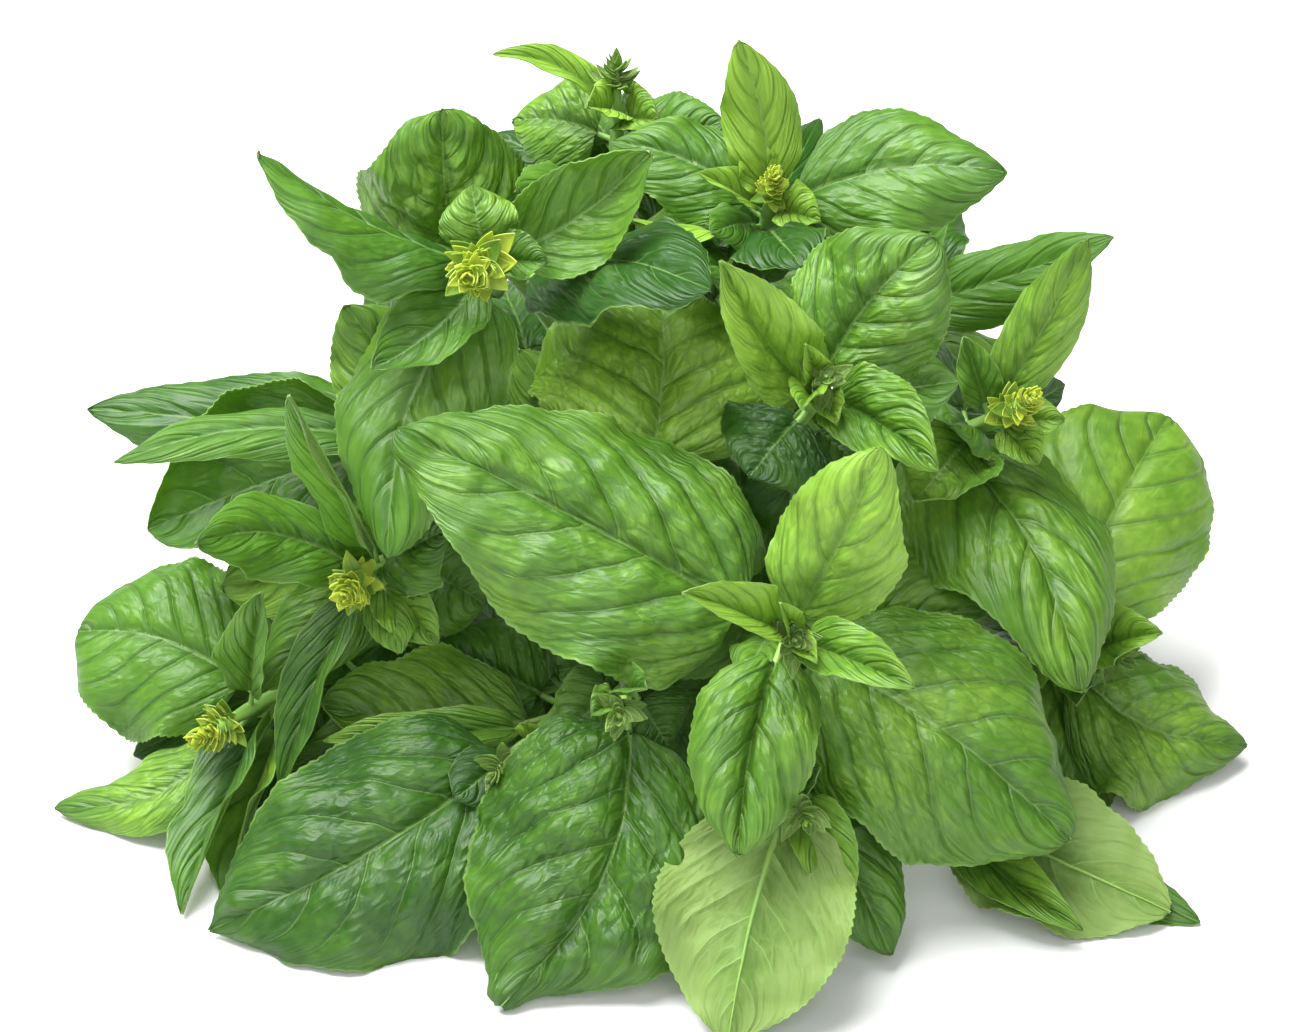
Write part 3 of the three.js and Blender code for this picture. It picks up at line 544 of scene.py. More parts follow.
def leaf_surface(leaf, root, order, rows, columns):
    """A leaf's middle surface, its normals, and its attributes.

    The midrib is a circular arc from root to tip that turns by the leaf's bend. Across it each
    half is an arc from the rise angle to the margin angle. The half width is a sine of the
    distance along the blade, raised to a power that grows towards the tip. The margin waves up
    and down, and carries forward-pointing teeth. Between the side veins the blade bulges."""
    rise, margin, fullness, point = FORMS[leaf.form]
    rise, curl = math.radians(rise), math.radians(margin - rise)
    width, blister = leaf.width, leaf.blister
    length = np.linalg.norm(leaf.tip - root)
    along = unit(leaf.tip - root)
    out = unit(leaf.face - along * leaf.face.dot(along))
    side = np.cross(along, out)
    bend = math.radians(leaf.bend)
    chord = 2.0 * math.sin(bend / 2)

    u, t = blade_grid(rows, columns)
    q = np.abs(t)
    stalk = STALK_SHARE + STALK_LENGTH / length
    s = stalk + (1.0 - stalk) * u
    turn = bend * (s - 0.5)
    centre = moved(
        root,
        (along, length * (math.sin(bend / 2) + np.sin(turn)) / chord),
        (out, length * (np.cos(turn) - math.cos(bend / 2)) / chord),
        (side, length * leaf.sway / 100 * np.sin(math.pi * s)),
    )
    up = moved(0, (along, np.sin(turn)), (out, np.cos(turn)))

    swell = np.maximum(np.sin(math.pi * u**fullness), 0)
    half = width / 2 * swell ** (OUTLINE_POWER + point * u * u)
    half = half + TIP_HALF_WIDTH + (STALK_HALF_WIDTH - TIP_HALF_WIDTH) * (1 - smooth(0, 0.05, u))
    tooth = (np.arange(rows + 1) % ROWS_PER_TOOTH)[:, None] / (ROWS_PER_TOOTH - 1) - 0.5
    share = min(1.0, width / FULL_WIDTH)
    reach = half + TOOTH_LENGTH * share * tooth * q**8 * smooth(0.02, 0.2, u)
    phase = ORDER_PHASE * order
    ripple = RIPPLE * waves(RIPPLE_WAVES, u, phase) * t**3
    frill = FRILL * waves(FRILL_WAVES, u, 3 * phase + 2 * t) * q**5
    roll = ROLL * waves(ROLL_WAVES, u, 2 * phase) * t**2 * smooth(0.0, 0.3, u)
    offset = np.sign(t) * (np.sin(rise + curl * q) - math.sin(rise)) / curl
    lift = (math.cos(rise) - np.cos(rise + curl * q)) / curl + ripple + frill + roll
    points = moved(centre, (side, reach * offset), (up, reach * lift))

    veins = VEINS_LARGE if width >= LARGE_WIDTH else VEINS_SMALL
    number = vein_number(u, q, t < 0, veins)
    pillow = np.abs(np.sin(math.pi * number)) ** BULGE_ROUNDNESS
    # Each field between two veins has a number, which gives it a height and lumps of its own.
    field = np.floor(number) + 31.0 * (t > 0) + 7.0 * order
    vigour = 0.75 + 0.35 * np.sin(12.9898 * field)
    lumps = 1.0 + LUMPS * np.cos(FULL_TURN * (q * LUMP_WAVES + 0.37 * field))
    edge = smooth(0.0, 0.20, q) * (1 - smooth(0.50, 1.0, q)) * smooth(0.0, 0.12, u)
    relief = BULGE * half * pillow * vigour * lumps * edge * (1 - 0.6 * u)
    relief = blister * (relief + blisters(half * t, length * u + 0 * t, order) * share)
    crease = np.exp(-((q * half / GROOVE_WIDTH) ** 2))
    relief = relief - GROOVE * min(1.0, width / GROOVE_FULL_WIDTH) * crease * (1 - 0.7 * u)
    points = moved(points, (grid_normals(points), relief))
    facts = blade_facts(u, t, half, length, 17.3 * order, (blister, leaf.tone, veins))
    return points, grid_normals(points), facts


def blisters(across, along, seed):
    """Uneven low swellings: a sum of crossed waves, a few millimetres to a centimetre long, each
    in its own direction, flattened below."""
    draw = np.random.default_rng(seed)
    height = 0.0
    for wavelength in BLISTER_LENGTHS:
        turn, start = draw.uniform(0, FULL_TURN, 2)
        way = math.cos(turn) * across + math.sin(turn) * along
        crossing = math.cos(turn) * along - math.sin(turn) * across
        swell = np.sin(FULL_TURN * way / wavelength + start)
        swell = swell * np.sin(FULL_TURN * crossing / (BLISTER_STRETCH * wavelength) + 2 * start)
        height = height + swell * wavelength * BLISTER_HEIGHT
    return np.where(height > 0, height, 0.5 * height)


def grid_normals(points):
    """The normal at each point of a grid: its step across, crossed with its step along."""
    normal = np.cross(np.gradient(points, axis=1), np.gradient(points, axis=0))
    return normal / (np.linalg.norm(normal, axis=-1, keepdims=True) + 1e-12)


def grid_quads(rows, columns, ring_rows=False, ring_columns=False):
    """The quads of a grid of points, which is closed into a ring either way where asked."""
    row = np.arange(rows if ring_rows else rows - 1)[:, None]
    column = np.arange(columns if ring_columns else columns - 1)[None, :]
    below, right = (row + 1) % rows * columns, (column + 1) % columns
    row = row * columns
    corners = (row + column, row + right, below + right, below + column)
    return np.stack(corners, axis=-1).reshape(-1, 4)


def shell(points, normals, thickness, facts):
    """A closed thin shell: a grid moved half its thickness each way, joined round the rim."""
    rows, columns = points.shape[:2]
    count = rows * columns
    upper, lower = (moved(points, (normals, way * thickness / 2)) for way in (1, -1))
    rest_on_surface(upper, lower)
    vertices = np.concatenate([upper.reshape(-1, 3), lower.reshape(-1, 3)])
    top = grid_quads(rows, columns)
    ring = np.concatenate([
        np.arange(columns),
        np.arange(1, rows) * columns + columns - 1,
        (rows - 1) * columns + np.arange(columns - 2, -1, -1),
        np.arange(rows - 2, 0, -1) * columns,
    ])
    after = np.roll(ring, -1)
    rim = np.stack([ring, ring + count, after + count, after], axis=1)
    attributes = {name: np.tile(values.reshape(-1, 3), (2, 1)) for name, values in facts.items()}
    attributes["blade"][count:, 2] = 1.0
    return vertices, [top, top[:, ::-1] + count, rim], attributes


def rest_on_surface(upper, lower):
    """Points that would sink below the surface are lifted onto it, the upper ones a bit higher."""
    upper_is_higher = upper[..., 2] >= lower[..., 2]
    for points, higher in ((upper, upper_is_higher), (lower, ~upper_is_higher)):
        points[..., 2] = np.maximum(points[..., 2], np.where(higher, LYING_THICKNESS, 0.0))


def tube(line, radii, sides, squareness=0.0, tone=0.0):
    """A profile carried along a line: a circle whose radius swells four times round by
    squareness, with flat ends."""
    count = len(line)
    tangent = unit(np.gradient(line, axis=0))
    sideways = np.array([1.0, 0.0, 0.0] if abs(tangent[0][0]) < 0.9 else [0.0, 0.0, 1.0])
    first = np.empty_like(line)
    for row in range(count):
        sideways = unit(sideways - tangent[row] * sideways.dot(tangent[row]))
        first[row] = sideways
    second = np.cross(tangent, first)
    angle = np.linspace(0.0, FULL_TURN, sides, endpoint=False)[None, :]
    radius = radii[:, None] * (1 + squareness * np.cos(4 * angle))
    vertices = moved(line[:, None], (first[:, None], radius * np.cos(angle)),
                     (second[:, None], radius * np.sin(angle)))
    walls = grid_quads(count, sides, ring_columns=True)
    start = np.arange(sides)[None, ::-1]
    end = (count - 1) * sides + np.arange(sides)[None, :]
    facts = {"blade": (0, 0, 2), "spot": (0, 0, 0), "leaf": (1, tone, 1)}
    attributes = {name: np.tile(np.array(value, float), (count * sides, 1))
                  for name, value in facts.items()}
    attributes["blade"][:, 0] = np.repeat(np.linspace(0, 1, count), sides)
    return vertices.reshape(-1, 3), [walls, start, end], attributes


def join(parts):
    """Joins lists of vertices, faces and attributes, each part with its material's number."""
    vertices, faces, slots, attributes = [], [], [], {}
    start = 0
    for (points, groups, facts), slot in parts:
        vertices.append(points)
        for group in groups:
            faces.append(group + start)
            slots.append(np.full(len(group), slot))
        for name, values in facts.items():
            attributes.setdefault(name, []).append(values)
        start += len(points)
    joined = {name: np.concatenate(values) for name, values in attributes.items()}
    return np.concatenate(vertices), faces, np.concatenate(slots), joined


def make_object(name, parts, materials):
    """One object, with its place in its mesh, smooth but for its sharp edges."""
    vertices, faces, slots, attributes = join(parts)
    mesh = bpy.data.meshes.new(name)
    mesh.vertices.add(len(vertices))
    mesh.vertices.foreach_set("co", ((vertices - ORIGIN) * MM).ravel())
    corners = np.concatenate([group.ravel() for group in faces])
    sizes = np.concatenate([np.full(len(group), group.shape[1]) for group in faces])
    mesh.loops.add(len(corners))
    mesh.loops.foreach_set("vertex_index", corners)
    mesh.polygons.add(len(sizes))
    mesh.polygons.foreach_set("loop_start", np.concatenate([[0], np.cumsum(sizes)[:-1]]))
    mesh.polygons.foreach_set("material_index", slots)
    mesh.update(calc_edges=True)
    for attribute, values in attributes.items():
        layer = mesh.attributes.new(attribute, "FLOAT_VECTOR", "POINT")
        layer.data.foreach_set("vector", np.ascontiguousarray(values, np.float32).ravel())
    for material in materials:
        mesh.materials.append(material)
    mesh.shade_smooth()
    mesh.set_sharp_from_angle(angle=math.radians(SHARP_ANGLE))
    mesh.update()
    piece = add_to_scene(name, mesh)
    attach(piece, "root")
    return piece


def add_to_scene(name, data):
    """A new object in the scene that shows a mesh, light or camera."""
    thing = bpy.data.objects.new(name, data)
    bpy.context.scene.collection.objects.link(thing)
    return thing


def leaf_parts(leaf, root, order):
    """A leaf's blade, and its stalk, which runs on under the blade as the midrib."""
    rows, columns = next(steps for least, *steps in LEAF_STEPS if leaf.width >= least)
    points, normals, facts = leaf_surface(leaf, root, order, rows, columns)
    _, t = blade_grid(rows, columns)
    thickness = BLADE_THICKNESS * (1 - MARGIN_THINNING * np.abs(t)**4)
    blade = shell(points, normals, np.broadcast_to(thickness, points.shape[:2]), facts)

    middle = columns // 2
    size = min(1.0, 0.45 + leaf.width / 60)
    spine = points[:, middle] - normals[:, middle] * MIDRIB_DEPTH * size
    lead = spine[0] - root
    run = unit(spine[1] - spine[0]) * np.linalg.norm(lead)
    controls = (root, root + lead * 0.33, spine[0] - run * 0.33, spine[0])
    stalk = bezier(controls, np.linspace(0.0, 1.0, STALK_STEPS, endpoint=False))
    line = np.concatenate([stalk, spine])
    thinning = (1 - np.linspace(0, 1, rows + 1)) ** 1.3
    taper = np.concatenate([
        np.full(STALK_STEPS, STALK_RADIUS * size),
        size * (MIDRIB_TIP + (STALK_RADIUS - MIDRIB_TIP) * thinning),
    ])
    line[:, 2] = np.maximum(line[:, 2], taper)
    return [(blade, LEAF_SLOT), (tube(line, taper, RIB_SIDES, tone=leaf.tone), STEM_SLOT)]


def stem_part(stem, index):
    """A square stem with rounded corners that swells a little at each pair of leaves."""
    line = stem_line(stem, index, STEM_SMOOTH_STEPS)
    steps = distances(line)
    below = steps[-1] - steps
    taper = np.clip(1 - below / below[STEM_SMOOTH_STEPS - 1], 0, 1)
    radii = STEM_RADIUS + (STEM_TIP_RADIUS - STEM_RADIUS) * taper
    for depth in sorted({leaf.below for leaf in stem.leaves}):
        radii = radii * (1 + NODE_SWELL * np.exp(-((below - depth) / NODE_LENGTH) ** 2))
    return tube(line, radii, STEM_SIDES, STEM_SQUARENESS)


def core_part(stem, levels, radii):
    """The thin stem inside a spike or shoot, which goes on from the stem's head."""
    return tube(stem.head + stem.aim * levels[:, None], radii, CORE_SIDES, tone=CORE_TONE)


def bract_part(stem, length, width, level, azimuth, lean, tone):
    """A bract or leaflet: a small scale whose half width is a sine of the distance along it. It
    arches as a sine too, and the square of the distance across cups it round the stem's axis.
    level is how far above the head it stands, azimuth the side that it stands on, and lean, in
    degrees, how far out it points."""
    lean = math.radians(lean)
    first = unit(np.cross(stem.aim, [0.31, 0.95, 0.1]))
    second = np.cross(stem.aim, first)
    outward = first * math.cos(azimuth) + second * math.sin(azimuth)
    tip_way = stem.aim * math.cos(lean) + outward * math.sin(lean)
    base = stem.head + stem.aim * level + outward * width * 0.1
    across = np.cross(tip_way, outward)
    back = np.cross(across, tip_way)
    u, t = blade_grid(BRACT_ROWS, BRACT_COLUMNS)
    half = width / 2 * np.sin(math.pi * u**0.62) ** 0.9 + 0.08
    cup = -BRACT_CUP * half * t**2 + BRACT_ARCH * length * np.sin(math.pi * u * 0.9)
    points = moved(base, (tip_way, length * u + 0 * t), (unit(across), half * t),
                   (unit(back), cup))
    facts = blade_facts(u, t, half, length, azimuth * 9, (1.0, tone, BRACT_VEINS))
    thickness = np.full(points.shape[:2], BRACT_THICKNESS)
    return shell(points, grid_normals(points), thickness, facts), LEAF_SLOT


def spike_parts(stem):
    """A flower spike in bud: whorls of bracts round a core, opening less towards the top, and
    a few larger bracts at the foot."""
    length, width = stem.spike
    draw = np.random.default_rng(int(length * 100 + width)).uniform
    share = np.linspace(0.0, 1.0, 7)
    radii = width * np.linspace(CORE_WIDTH, CORE_TIP_WIDTH, 7)
    parts = [(core_part(stem, length * CORE_REACH * share, radii), STEM_SLOT)]
    for whorl in range(SPIKE_WHORLS):
        height = whorl / (SPIKE_WHORLS - 1)
        for place in range(BRACTS_PER_WHORL):
            azimuth = (place + 0.5 * (whorl % 2)) * FULL_TURN / BRACTS_PER_WHORL
            azimuth += draw(-0.4, 0.4)
            size = width * (0.30 - 0.14 * height) * draw(0.6, 1.3)
            lean = 74 - 50 * height + draw(-20, 20)
            level = length * (0.06 + 0.72 * height) + draw(-0.7, 0.7)
            tone = draw(-1.5, 0.3) + 1.1 * height
            parts.append(bract_part(stem, size, size * draw(0.42, 0.70), level, azimuth, lean,
                                    tone))
    first = draw(0, math.pi)
    for place in range(OUTER_BRACTS):
        size = width * draw(0.30, 0.44)
        azimuth = first + place * FULL_TURN / OUTER_BRACTS + draw(-0.6, 0.6)
        parts.append(bract_part(stem, size, size * 0.6, length * 0.06, azimuth, draw(60, 96),
                                draw(-1.6, 0.0)))
    return parts


def shoot_parts(stem):
    """The tip of a stem that doesn't flower: a short thin end, with tiny leaves spiralling up it
    to a bud, the upper ones smaller and more upright."""
    draw = np.random.default_rng(int(abs(stem.head[0]) * 10 + stem.head[2])).uniform
    levels = np.linspace(-1.0, SHOOT_REACH, 5)
    radii = np.linspace(STEM_TIP_RADIUS, SHOOT_END_RADIUS, 5)
    parts = [(core_part(stem, levels, radii), STEM_SLOT)]
    for leaflet in range(SHOOT_LEAFLETS):
        height = leaflet / (SHOOT_LEAFLETS - 1)
        azimuth = leaflet * SHOOT_TURN + draw(-0.3, 0.3)
        size = (7.5 - 4.5 * height) * draw(0.8, 1.2)
        lean = 72 - 58 * height + draw(-12, 12)
        level = SHOOT_REACH * (0.4 + 0.55 * height)
        parts.append(bract_part(stem, size, size * 0.5, level, azimuth, lean, draw(1.0, 1.7)))
    return parts


def band_part():
    """A flat elastic ring: a rounded flat section carried round a circle."""
    turn = np.linspace(0, FULL_TURN, BAND_STEPS, endpoint=False)[:, None]
    angle = np.linspace(0, FULL_TURN, BAND_SECTION_STEPS, endpoint=False)[None, :]
    soft_cos, soft_sin = (np.sign(wave) * np.abs(wave) ** 0.5
                          for wave in (np.cos(angle), np.sin(angle)))
    radius = BAND_RADIUS + BAND_HALF_THICKNESS * soft_cos + BAND_WOBBLE * np.sin(3 * turn)
    depth = BAND_HALF_WIDTH * soft_sin * (1 + BAND_UNEVENNESS * np.sin(2 * turn + 1))
    points = np.stack([radius * np.cos(turn), depth + 0 * turn, radius * np.sin(turn)], axis=-1)
    quads = grid_quads(BAND_STEPS, BAND_SECTION_STEPS, ring_rows=True, ring_columns=True)
    return (points + BAND_CENTRE).reshape(-1, 3), [quads[:, [0, 3, 2, 1]]], {}


# ---- Materials

class Wire:
    """One output of a node. Arithmetic on wires adds Math nodes to the same tree."""

    def __init__(self, nodes, socket):
        self.nodes, self.socket = nodes, socket

    def __abs__(self):
        return self.nodes.math("ABSOLUTE", self)


def overload(word, operation):
    """Gives Wire an operator and its reflected form."""
    setattr(Wire, f"__{word}__", lambda a, b: a.nodes.math(operation, a, b))
    setattr(Wire, f"__r{word}__", lambda a, b: a.nodes.math(operation, b, a))


for word, operation in (("add", "ADD"), ("sub", "SUBTRACT"), ("mul", "MULTIPLY"),
                        ("truediv", "DIVIDE")):
    overload(word, operation)


class Nodes:
    """Makes the nodes of one material or world."""

    def __init__(self, owner):
        owner.use_nodes = True
        self.owner = owner
        self.tree = owner.node_tree
        self.tree.nodes.clear()

    def add(self, kind, settings, inputs, output=0):
        """A node of a type with its settings, its sockets' values or links, and one output."""
        node = self.tree.nodes.new(kind)
        for name, value in settings.items():
            setattr(node, name, value)
        for key, value in inputs.items():
            if isinstance(value, Wire):
                self.tree.links.new(value.socket, node.inputs[key])
            else:
                node.inputs[key].default_value = value
        return Wire(self, node.outputs[output]) if len(node.outputs) else None

    def finish(self, shader, kind="Material"):
        """The material or world, with its shader as its surface."""
        self.add(f"ShaderNodeOutput{kind}", {}, {"Surface": shader})
        return self.owner

    def math(self, operation, *values):
        return self.add("ShaderNodeMath", {"operation": operation}, dict(enumerate(values)))

    def rise(self, value, low, high, start=0.0, end=1.0):
        """An S-shaped rise from start, where the value is low, to end, where it is high."""
        return self.add(
            "ShaderNodeMapRange", {"interpolation_type": "SMOOTHSTEP"},
            {"Value": value, "From Min": low, "From Max": high, "To Min": start, "To Max": end},
        )

    def mix(self, share, first, second):
        """A colour between two colours."""
        return self.add("ShaderNodeMix", {"data_type": "RGBA"},
                        {0: share, 6: colour(first), 7: colour(second)}, output=2)

    def attribute(self, name):
        """The three numbers of a mesh attribute."""
        vector = self.add("ShaderNodeAttribute", {"attribute_name": name}, {}, output="Vector")
        return vector, [self.add("ShaderNodeSeparateXYZ", {}, {0: vector}, output=axis)
                        for axis in range(3)]

    def point(self, *values):
        return self.add("ShaderNodeCombineXYZ", {}, dict(enumerate(values)))

    def object_place(self):
        return self.add("ShaderNodeTexCoord", {}, {}, output="Object")

    def noise(self, vector, scale, detail=2.0):
        return self.add("ShaderNodeTexNoise", {},
                        {"Vector": vector, "Scale": scale, "Detail": detail})

    def bump(self, height, strength, distance):
        return self.add("ShaderNodeBump", {},
                        {"Height": height, "Strength": strength, "Distance": distance})

    def surface(self, tint, roughness, **others):
        """A shader that throws light back."""
        return self.add("ShaderNodeBsdfPrincipled", {},
                        {"Base Color": tint, "Roughness": roughness, **others})

    def lit_through(self, shader, share, tint):
        """The shader, with a share of light that comes through from behind."""
        glow = self.add("ShaderNodeBsdfTranslucent", {}, {"Color": colour(tint)})
        return self.add("ShaderNodeMixShader", {}, {0: share, 1: shader, 2: glow})


def colour(value):
    """A colour with its alpha, or the wire as it is."""
    return value if isinstance(value, Wire) else (*value, 1.0)


def new_material(name):
    """The nodes of a new material."""
    return Nodes(bpy.data.materials.new(name))


def leaf_material(look):
    """Satin leaf: thin pale veins in grooves darkened with painted shade, fine feathered wrinkles
    between them lightened and darkened with painted light and shade, darker and lighter patches, a
    thin light rim, a paler matt underside with raised veins, and some light let through."""
    nodes = new_material("basil_leaf")
    _, (u, t, under) = nodes.attribute("blade")
    spot, (across, _, order) = nodes.attribute("spot")
    _, (blister, tone, veins) = nodes.attribute("leaf")
    q = abs(t)
    from_midrib = abs(across)
    patches = nodes.noise(spot, 0.045) - 0.5
    wander = nodes.noise(spot, 0.08) - 0.5
    fine = nodes.noise(spot, 0.35, 4.0)
    grain = fine - 0.5
    number = vein_number(u, q, nodes.math("LESS_THAN", t, 0.0), veins)
    number = number + wander * VEIN_WANDER
    from_vein = abs(nodes.math("FRACT", number + 0.5) - 0.5)
    fading = nodes.rise(q, 0.70, 0.98, 1.0, 0.0)
    vein_width = nodes.rise(q, 0.0, 1.0, 0.050, 0.018)
    side_vein = (1.0 - nodes.rise(from_vein / vein_width, 0.25, 1.0)) * fading
    groove = (1.0 - nodes.rise(from_vein, 0.01, 0.17)) * fading
    midrib = 1.0 - nodes.rise(from_midrib / nodes.rise(u, 0.0, 1.0, 0.8, 0.2), 0.35, 1.0)
    trough = 1.0 - nodes.rise(from_midrib, 0.4, 3.2)
    vein = nodes.math("MAXIMUM", side_vein, midrib)
    cells = nodes.add("ShaderNodeTexVoronoi", {"feature": "DISTANCE_TO_EDGE"}, {
        "Vector": nodes.point(number * CELLS_BETWEEN_VEINS, from_midrib * CELLS_ALONG_VEIN,
                              order),
        "Scale": 1.0,
        "Randomness": 0.9,
    })
    net = 1.0 - nodes.rise(cells, 0.0, 0.12)
    wrinkles = nodes.noise(nodes.point(number * WRINKLES_BETWEEN_VEINS,
                                       from_midrib * WRINKLES_ALONG_VEIN, order), 1.0, 3.0)

    shade = 0.5 + tone * 0.5 + patches * 0.9 + grain * 0.4
    # Painted light and shade: the colour is lighter on the wrinkles' crests and darker in their
    # hollows, in step with the bump below.
    shade = shade + (wrinkles - 0.5) * nodes.rise(tone, -0.6, 1.0, 0.15, 0.4) * blister
    grown = nodes.mix(nodes.rise(shade, 0.0, 0.55), look.old_colour, look.leaf_colour)
    blade = nodes.mix(nodes.rise(shade, 0.5, 1.15), grown, look.young_colour)
    # Painted shade: the grooves along the side veins, the trough beside the midrib and the fine
    # creases of the cell net are darkened towards the old colour.
    depth = nodes.rise(tone, 0.0, 1.0, GROOVE_PAINTED_SHADE, YOUNG_GROOVE_PAINTED_SHADE)
    dark = nodes.math("MAXIMUM", groove, trough) * depth + net * CELL_PAINTED_SHADE * blister
    blade = nodes.mix(dark, blade, look.old_colour)
    blade = nodes.mix(side_vein * 0.22 + midrib * 0.40, blade, look.vein_colour)
    mottle = nodes.rise(patches + (0.5 - q) * 0.5 + grain * 0.4, -0.15, 0.35, 0.0, 0.6)
    back = nodes.mix(mottle, look.underside_colour, look.leaf_colour)
    back = nodes.mix(vein * 0.75 + net * 0.30 + groove * 0.2, back, look.vein_colour)
    tint = nodes.mix(under, blade, back)
    tint = nodes.mix(nodes.rise(q, 0.955, 0.99, 0.0, 0.45), tint, look.vein_colour)

    roughness = nodes.rise(under, 0.0, 1.0, look.gloss, 0.62) + grain * 0.12
    relief = nodes.rise(cells, 0.0, 0.45) * 0.7 + wrinkles * 0.8
    relief = relief * blister - groove * 0.6 - side_vein * 0.5
    relief = relief * (1.0 - 1.6 * under) + fine * 0.2
    bump = nodes.bump(relief, RELIEF_STRENGTH, RELIEF_HEIGHT)
    shader = nodes.surface(tint, roughness, IOR=1.5, Normal=bump)
    return nodes.finish(nodes.lit_through(shader, look.glow, look.glow_colour))


def bract_material(look):
    """Bracts and buds: yellow-green, paler at the tips, finely ribbed."""
    nodes = new_material("basil_bract")
    _, (u, t, _) = nodes.attribute("blade")
    spot, _ = nodes.attribute("spot")
    _, (_, tone, _) = nodes.attribute("leaf")
    patches = nodes.noise(spot, 0.3)
    shade = 0.45 + tone * 0.3 + (patches - 0.5) * 0.6 + u * 0.25
    tint = nodes.mix(nodes.rise(shade, 0.0, 1.0), look.bract_colour, look.bract_tip_colour)
    rib = nodes.rise(abs(t), 0.02, 0.16, 1.0, 0.0)
    tint = nodes.mix(rib * 0.35, tint, look.vein_colour)
    bump = nodes.bump(patches - rib * 0.5, FINE_STRENGTH, FINE_HEIGHT)
    shader = nodes.surface(tint, 0.45 + patches * 0.15, Normal=bump)
    return nodes.finish(nodes.lit_through(shader, look.glow, BRACT_GLOW))


def stem_material(look):
    """Stems, stalks and midribs: pale green, finely streaked along, with a few darker patches."""
    nodes = new_material("basil_stem")
    place = nodes.object_place()
    _, (_, tone, _) = nodes.attribute("leaf")
    patches = nodes.noise(place, 60.0)
    fine = nodes.noise(place, 900.0, 3.0)
    tint = nodes.mix(nodes.rise(patches + tone * 0.2, 0.35, 0.75), look.stem_colour,
                     look.stem_pale_colour)
    return nodes.finish(nodes.surface(tint, 0.40 + fine * 0.2,
                                      Normal=nodes.bump(fine, 0.25, FINE_HEIGHT)))


def band_material(look):
    """Natural rubber: matt, faintly mottled."""
    nodes = new_material("band_rubber")
    place = nodes.object_place()
    mottle = nodes.noise(place, 220.0, 3.0)
    tint = nodes.mix(mottle, look.rubber_colour, look.rubber_pale_colour)
    bump = nodes.bump(nodes.noise(place, 1500.0), 0.2, 0.0002)
    return nodes.finish(nodes.surface(tint, 0.55 + mottle * 0.2, Normal=bump))


def floor_material(look):
    """A plain pale matt floor."""
    nodes = new_material("pale_floor")
    shaded = [channel * 0.985 for channel in look.floor_colour]
    tint = nodes.mix(nodes.noise(nodes.object_place(), 90.0), shaded, look.floor_colour)
    return nodes.finish(nodes.surface(tint, 0.75))


# ---- Settings

def tint_property(name, description, default):
    return bpy.props.FloatVectorProperty(
        name=name, description=description, default=default, size=3, min=0.0, max=1.0,
        subtype="COLOR",
    )


def number_property(name, description, default, least, **options):
    return bpy.props.FloatProperty(
        name=name, description=description, default=default, min=least, **options
    )


class BunchSettings(bpy.types.PropertyGroup):
    """Colours and gloss of the leaves, stems and band."""

    leaf_colour: tint_property("Grown leaf", "Upper side of a grown leaf", (0.088, 0.216, 0.018))
    old_colour: tint_property("Old leaf", "Upper side of an old leaf", (0.014, 0.066, 0.004))
    young_colour: tint_property("Young leaf", "Leaves near a stem's top", (0.290, 0.515, 0.052))
    vein_colour: tint_property("Veins", "Veins and rims of the leaves", (0.260, 0.440, 0.110))
    underside_colour: tint_property("Underside", "Lower side of a leaf", (0.225, 0.340, 0.080))
    glow_colour: tint_property("Light let through", "Light behind a leaf", (0.360, 0.620, 0.050))
    glow: number_property("Translucency", "Share of light let through", 0.27, 0.0, max=1.0,
                          subtype="FACTOR")
    gloss: number_property("Leaf roughness", "Upper side of the leaves", 0.46, 0.0, max=1.0,
                           subtype="FACTOR")
    stem_colour: tint_property("Stem", "Stems and stalks", (0.190, 0.380, 0.070))
    stem_pale_colour: tint_property("Pale stem", "Paler streaks", (0.240, 0.400, 0.080))
    bract_colour: tint_property("Bracts", "Bracts of the flower spikes", (0.100, 0.240, 0.020))
    bract_tip_colour: tint_property("Bract tips", "Tips of the bracts", (0.540, 0.640, 0.060))
    rubber_colour: tint_property("Rubber", "Band", (0.560, 0.370, 0.180))
    rubber_pale_colour: tint_property("Pale rubber", "Mottling of the band", (0.680, 0.500, 0.290))


class StageSettings(bpy.types.PropertyGroup):
    """Floor, lights and camera."""

    floor_colour: tint_property("Floor", "Plain pale floor", (0.90, 0.90, 0.90))
    key_power: number_property("Light", "Power of the overhead light", 39.0, 0.0, unit="POWER")
    sky: number_property("Surroundings", "Brightness of the white surroundings", 0.14, 0.0,
                         max=5.0, subtype="FACTOR")
    camera_distance: number_property("Camera distance", "From the camera to the leaves", 1.0,
                                     0.1, unit="LENGTH")
    camera_angle: number_property("Camera angle", "How steeply the camera looks down",
                                  math.radians(35), 0.0, subtype="ANGLE")
    view_width: number_property("View width", "Width seen at the leaves", 0.3013, 0.01,
                                unit="LENGTH")


# ---- Operators

class BUNCH_OT_leafy_stems(bpy.types.Operator):
    """Make the leafy stems"""

    bl_idname = "bunch.leafy_stems"
    bl_label = "Leafy stems"

    def execute(self, context):
        look = context.scene.bunch_settings
        materials = [leaf_material(look), stem_material(look)]
        for index, stem in enumerate(STEMS):
            # The leaves hang on the same coarse line as in the part's source.
            line = np.concatenate([
                stem_line(stem, index, 2)[:1],
                bezier(stem_controls(stem), np.linspace(0.0, 1.0, STEM_STEPS + 1)),
            ])
            parts = [(stem_part(stem, index), STEM_SLOT)]
            for order, leaf in enumerate(stem.leaves + stem.inner):
                parts += leaf_parts(leaf, point_below_head(line, leaf.below), order)
            if not stem.spike:
                parts += shoot_parts(stem)
            piece = make_object(f"leafy_stem_{stem.name}", parts, materials)
            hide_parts(f"sprig_{stem.name}")
        return {"FINISHED"}


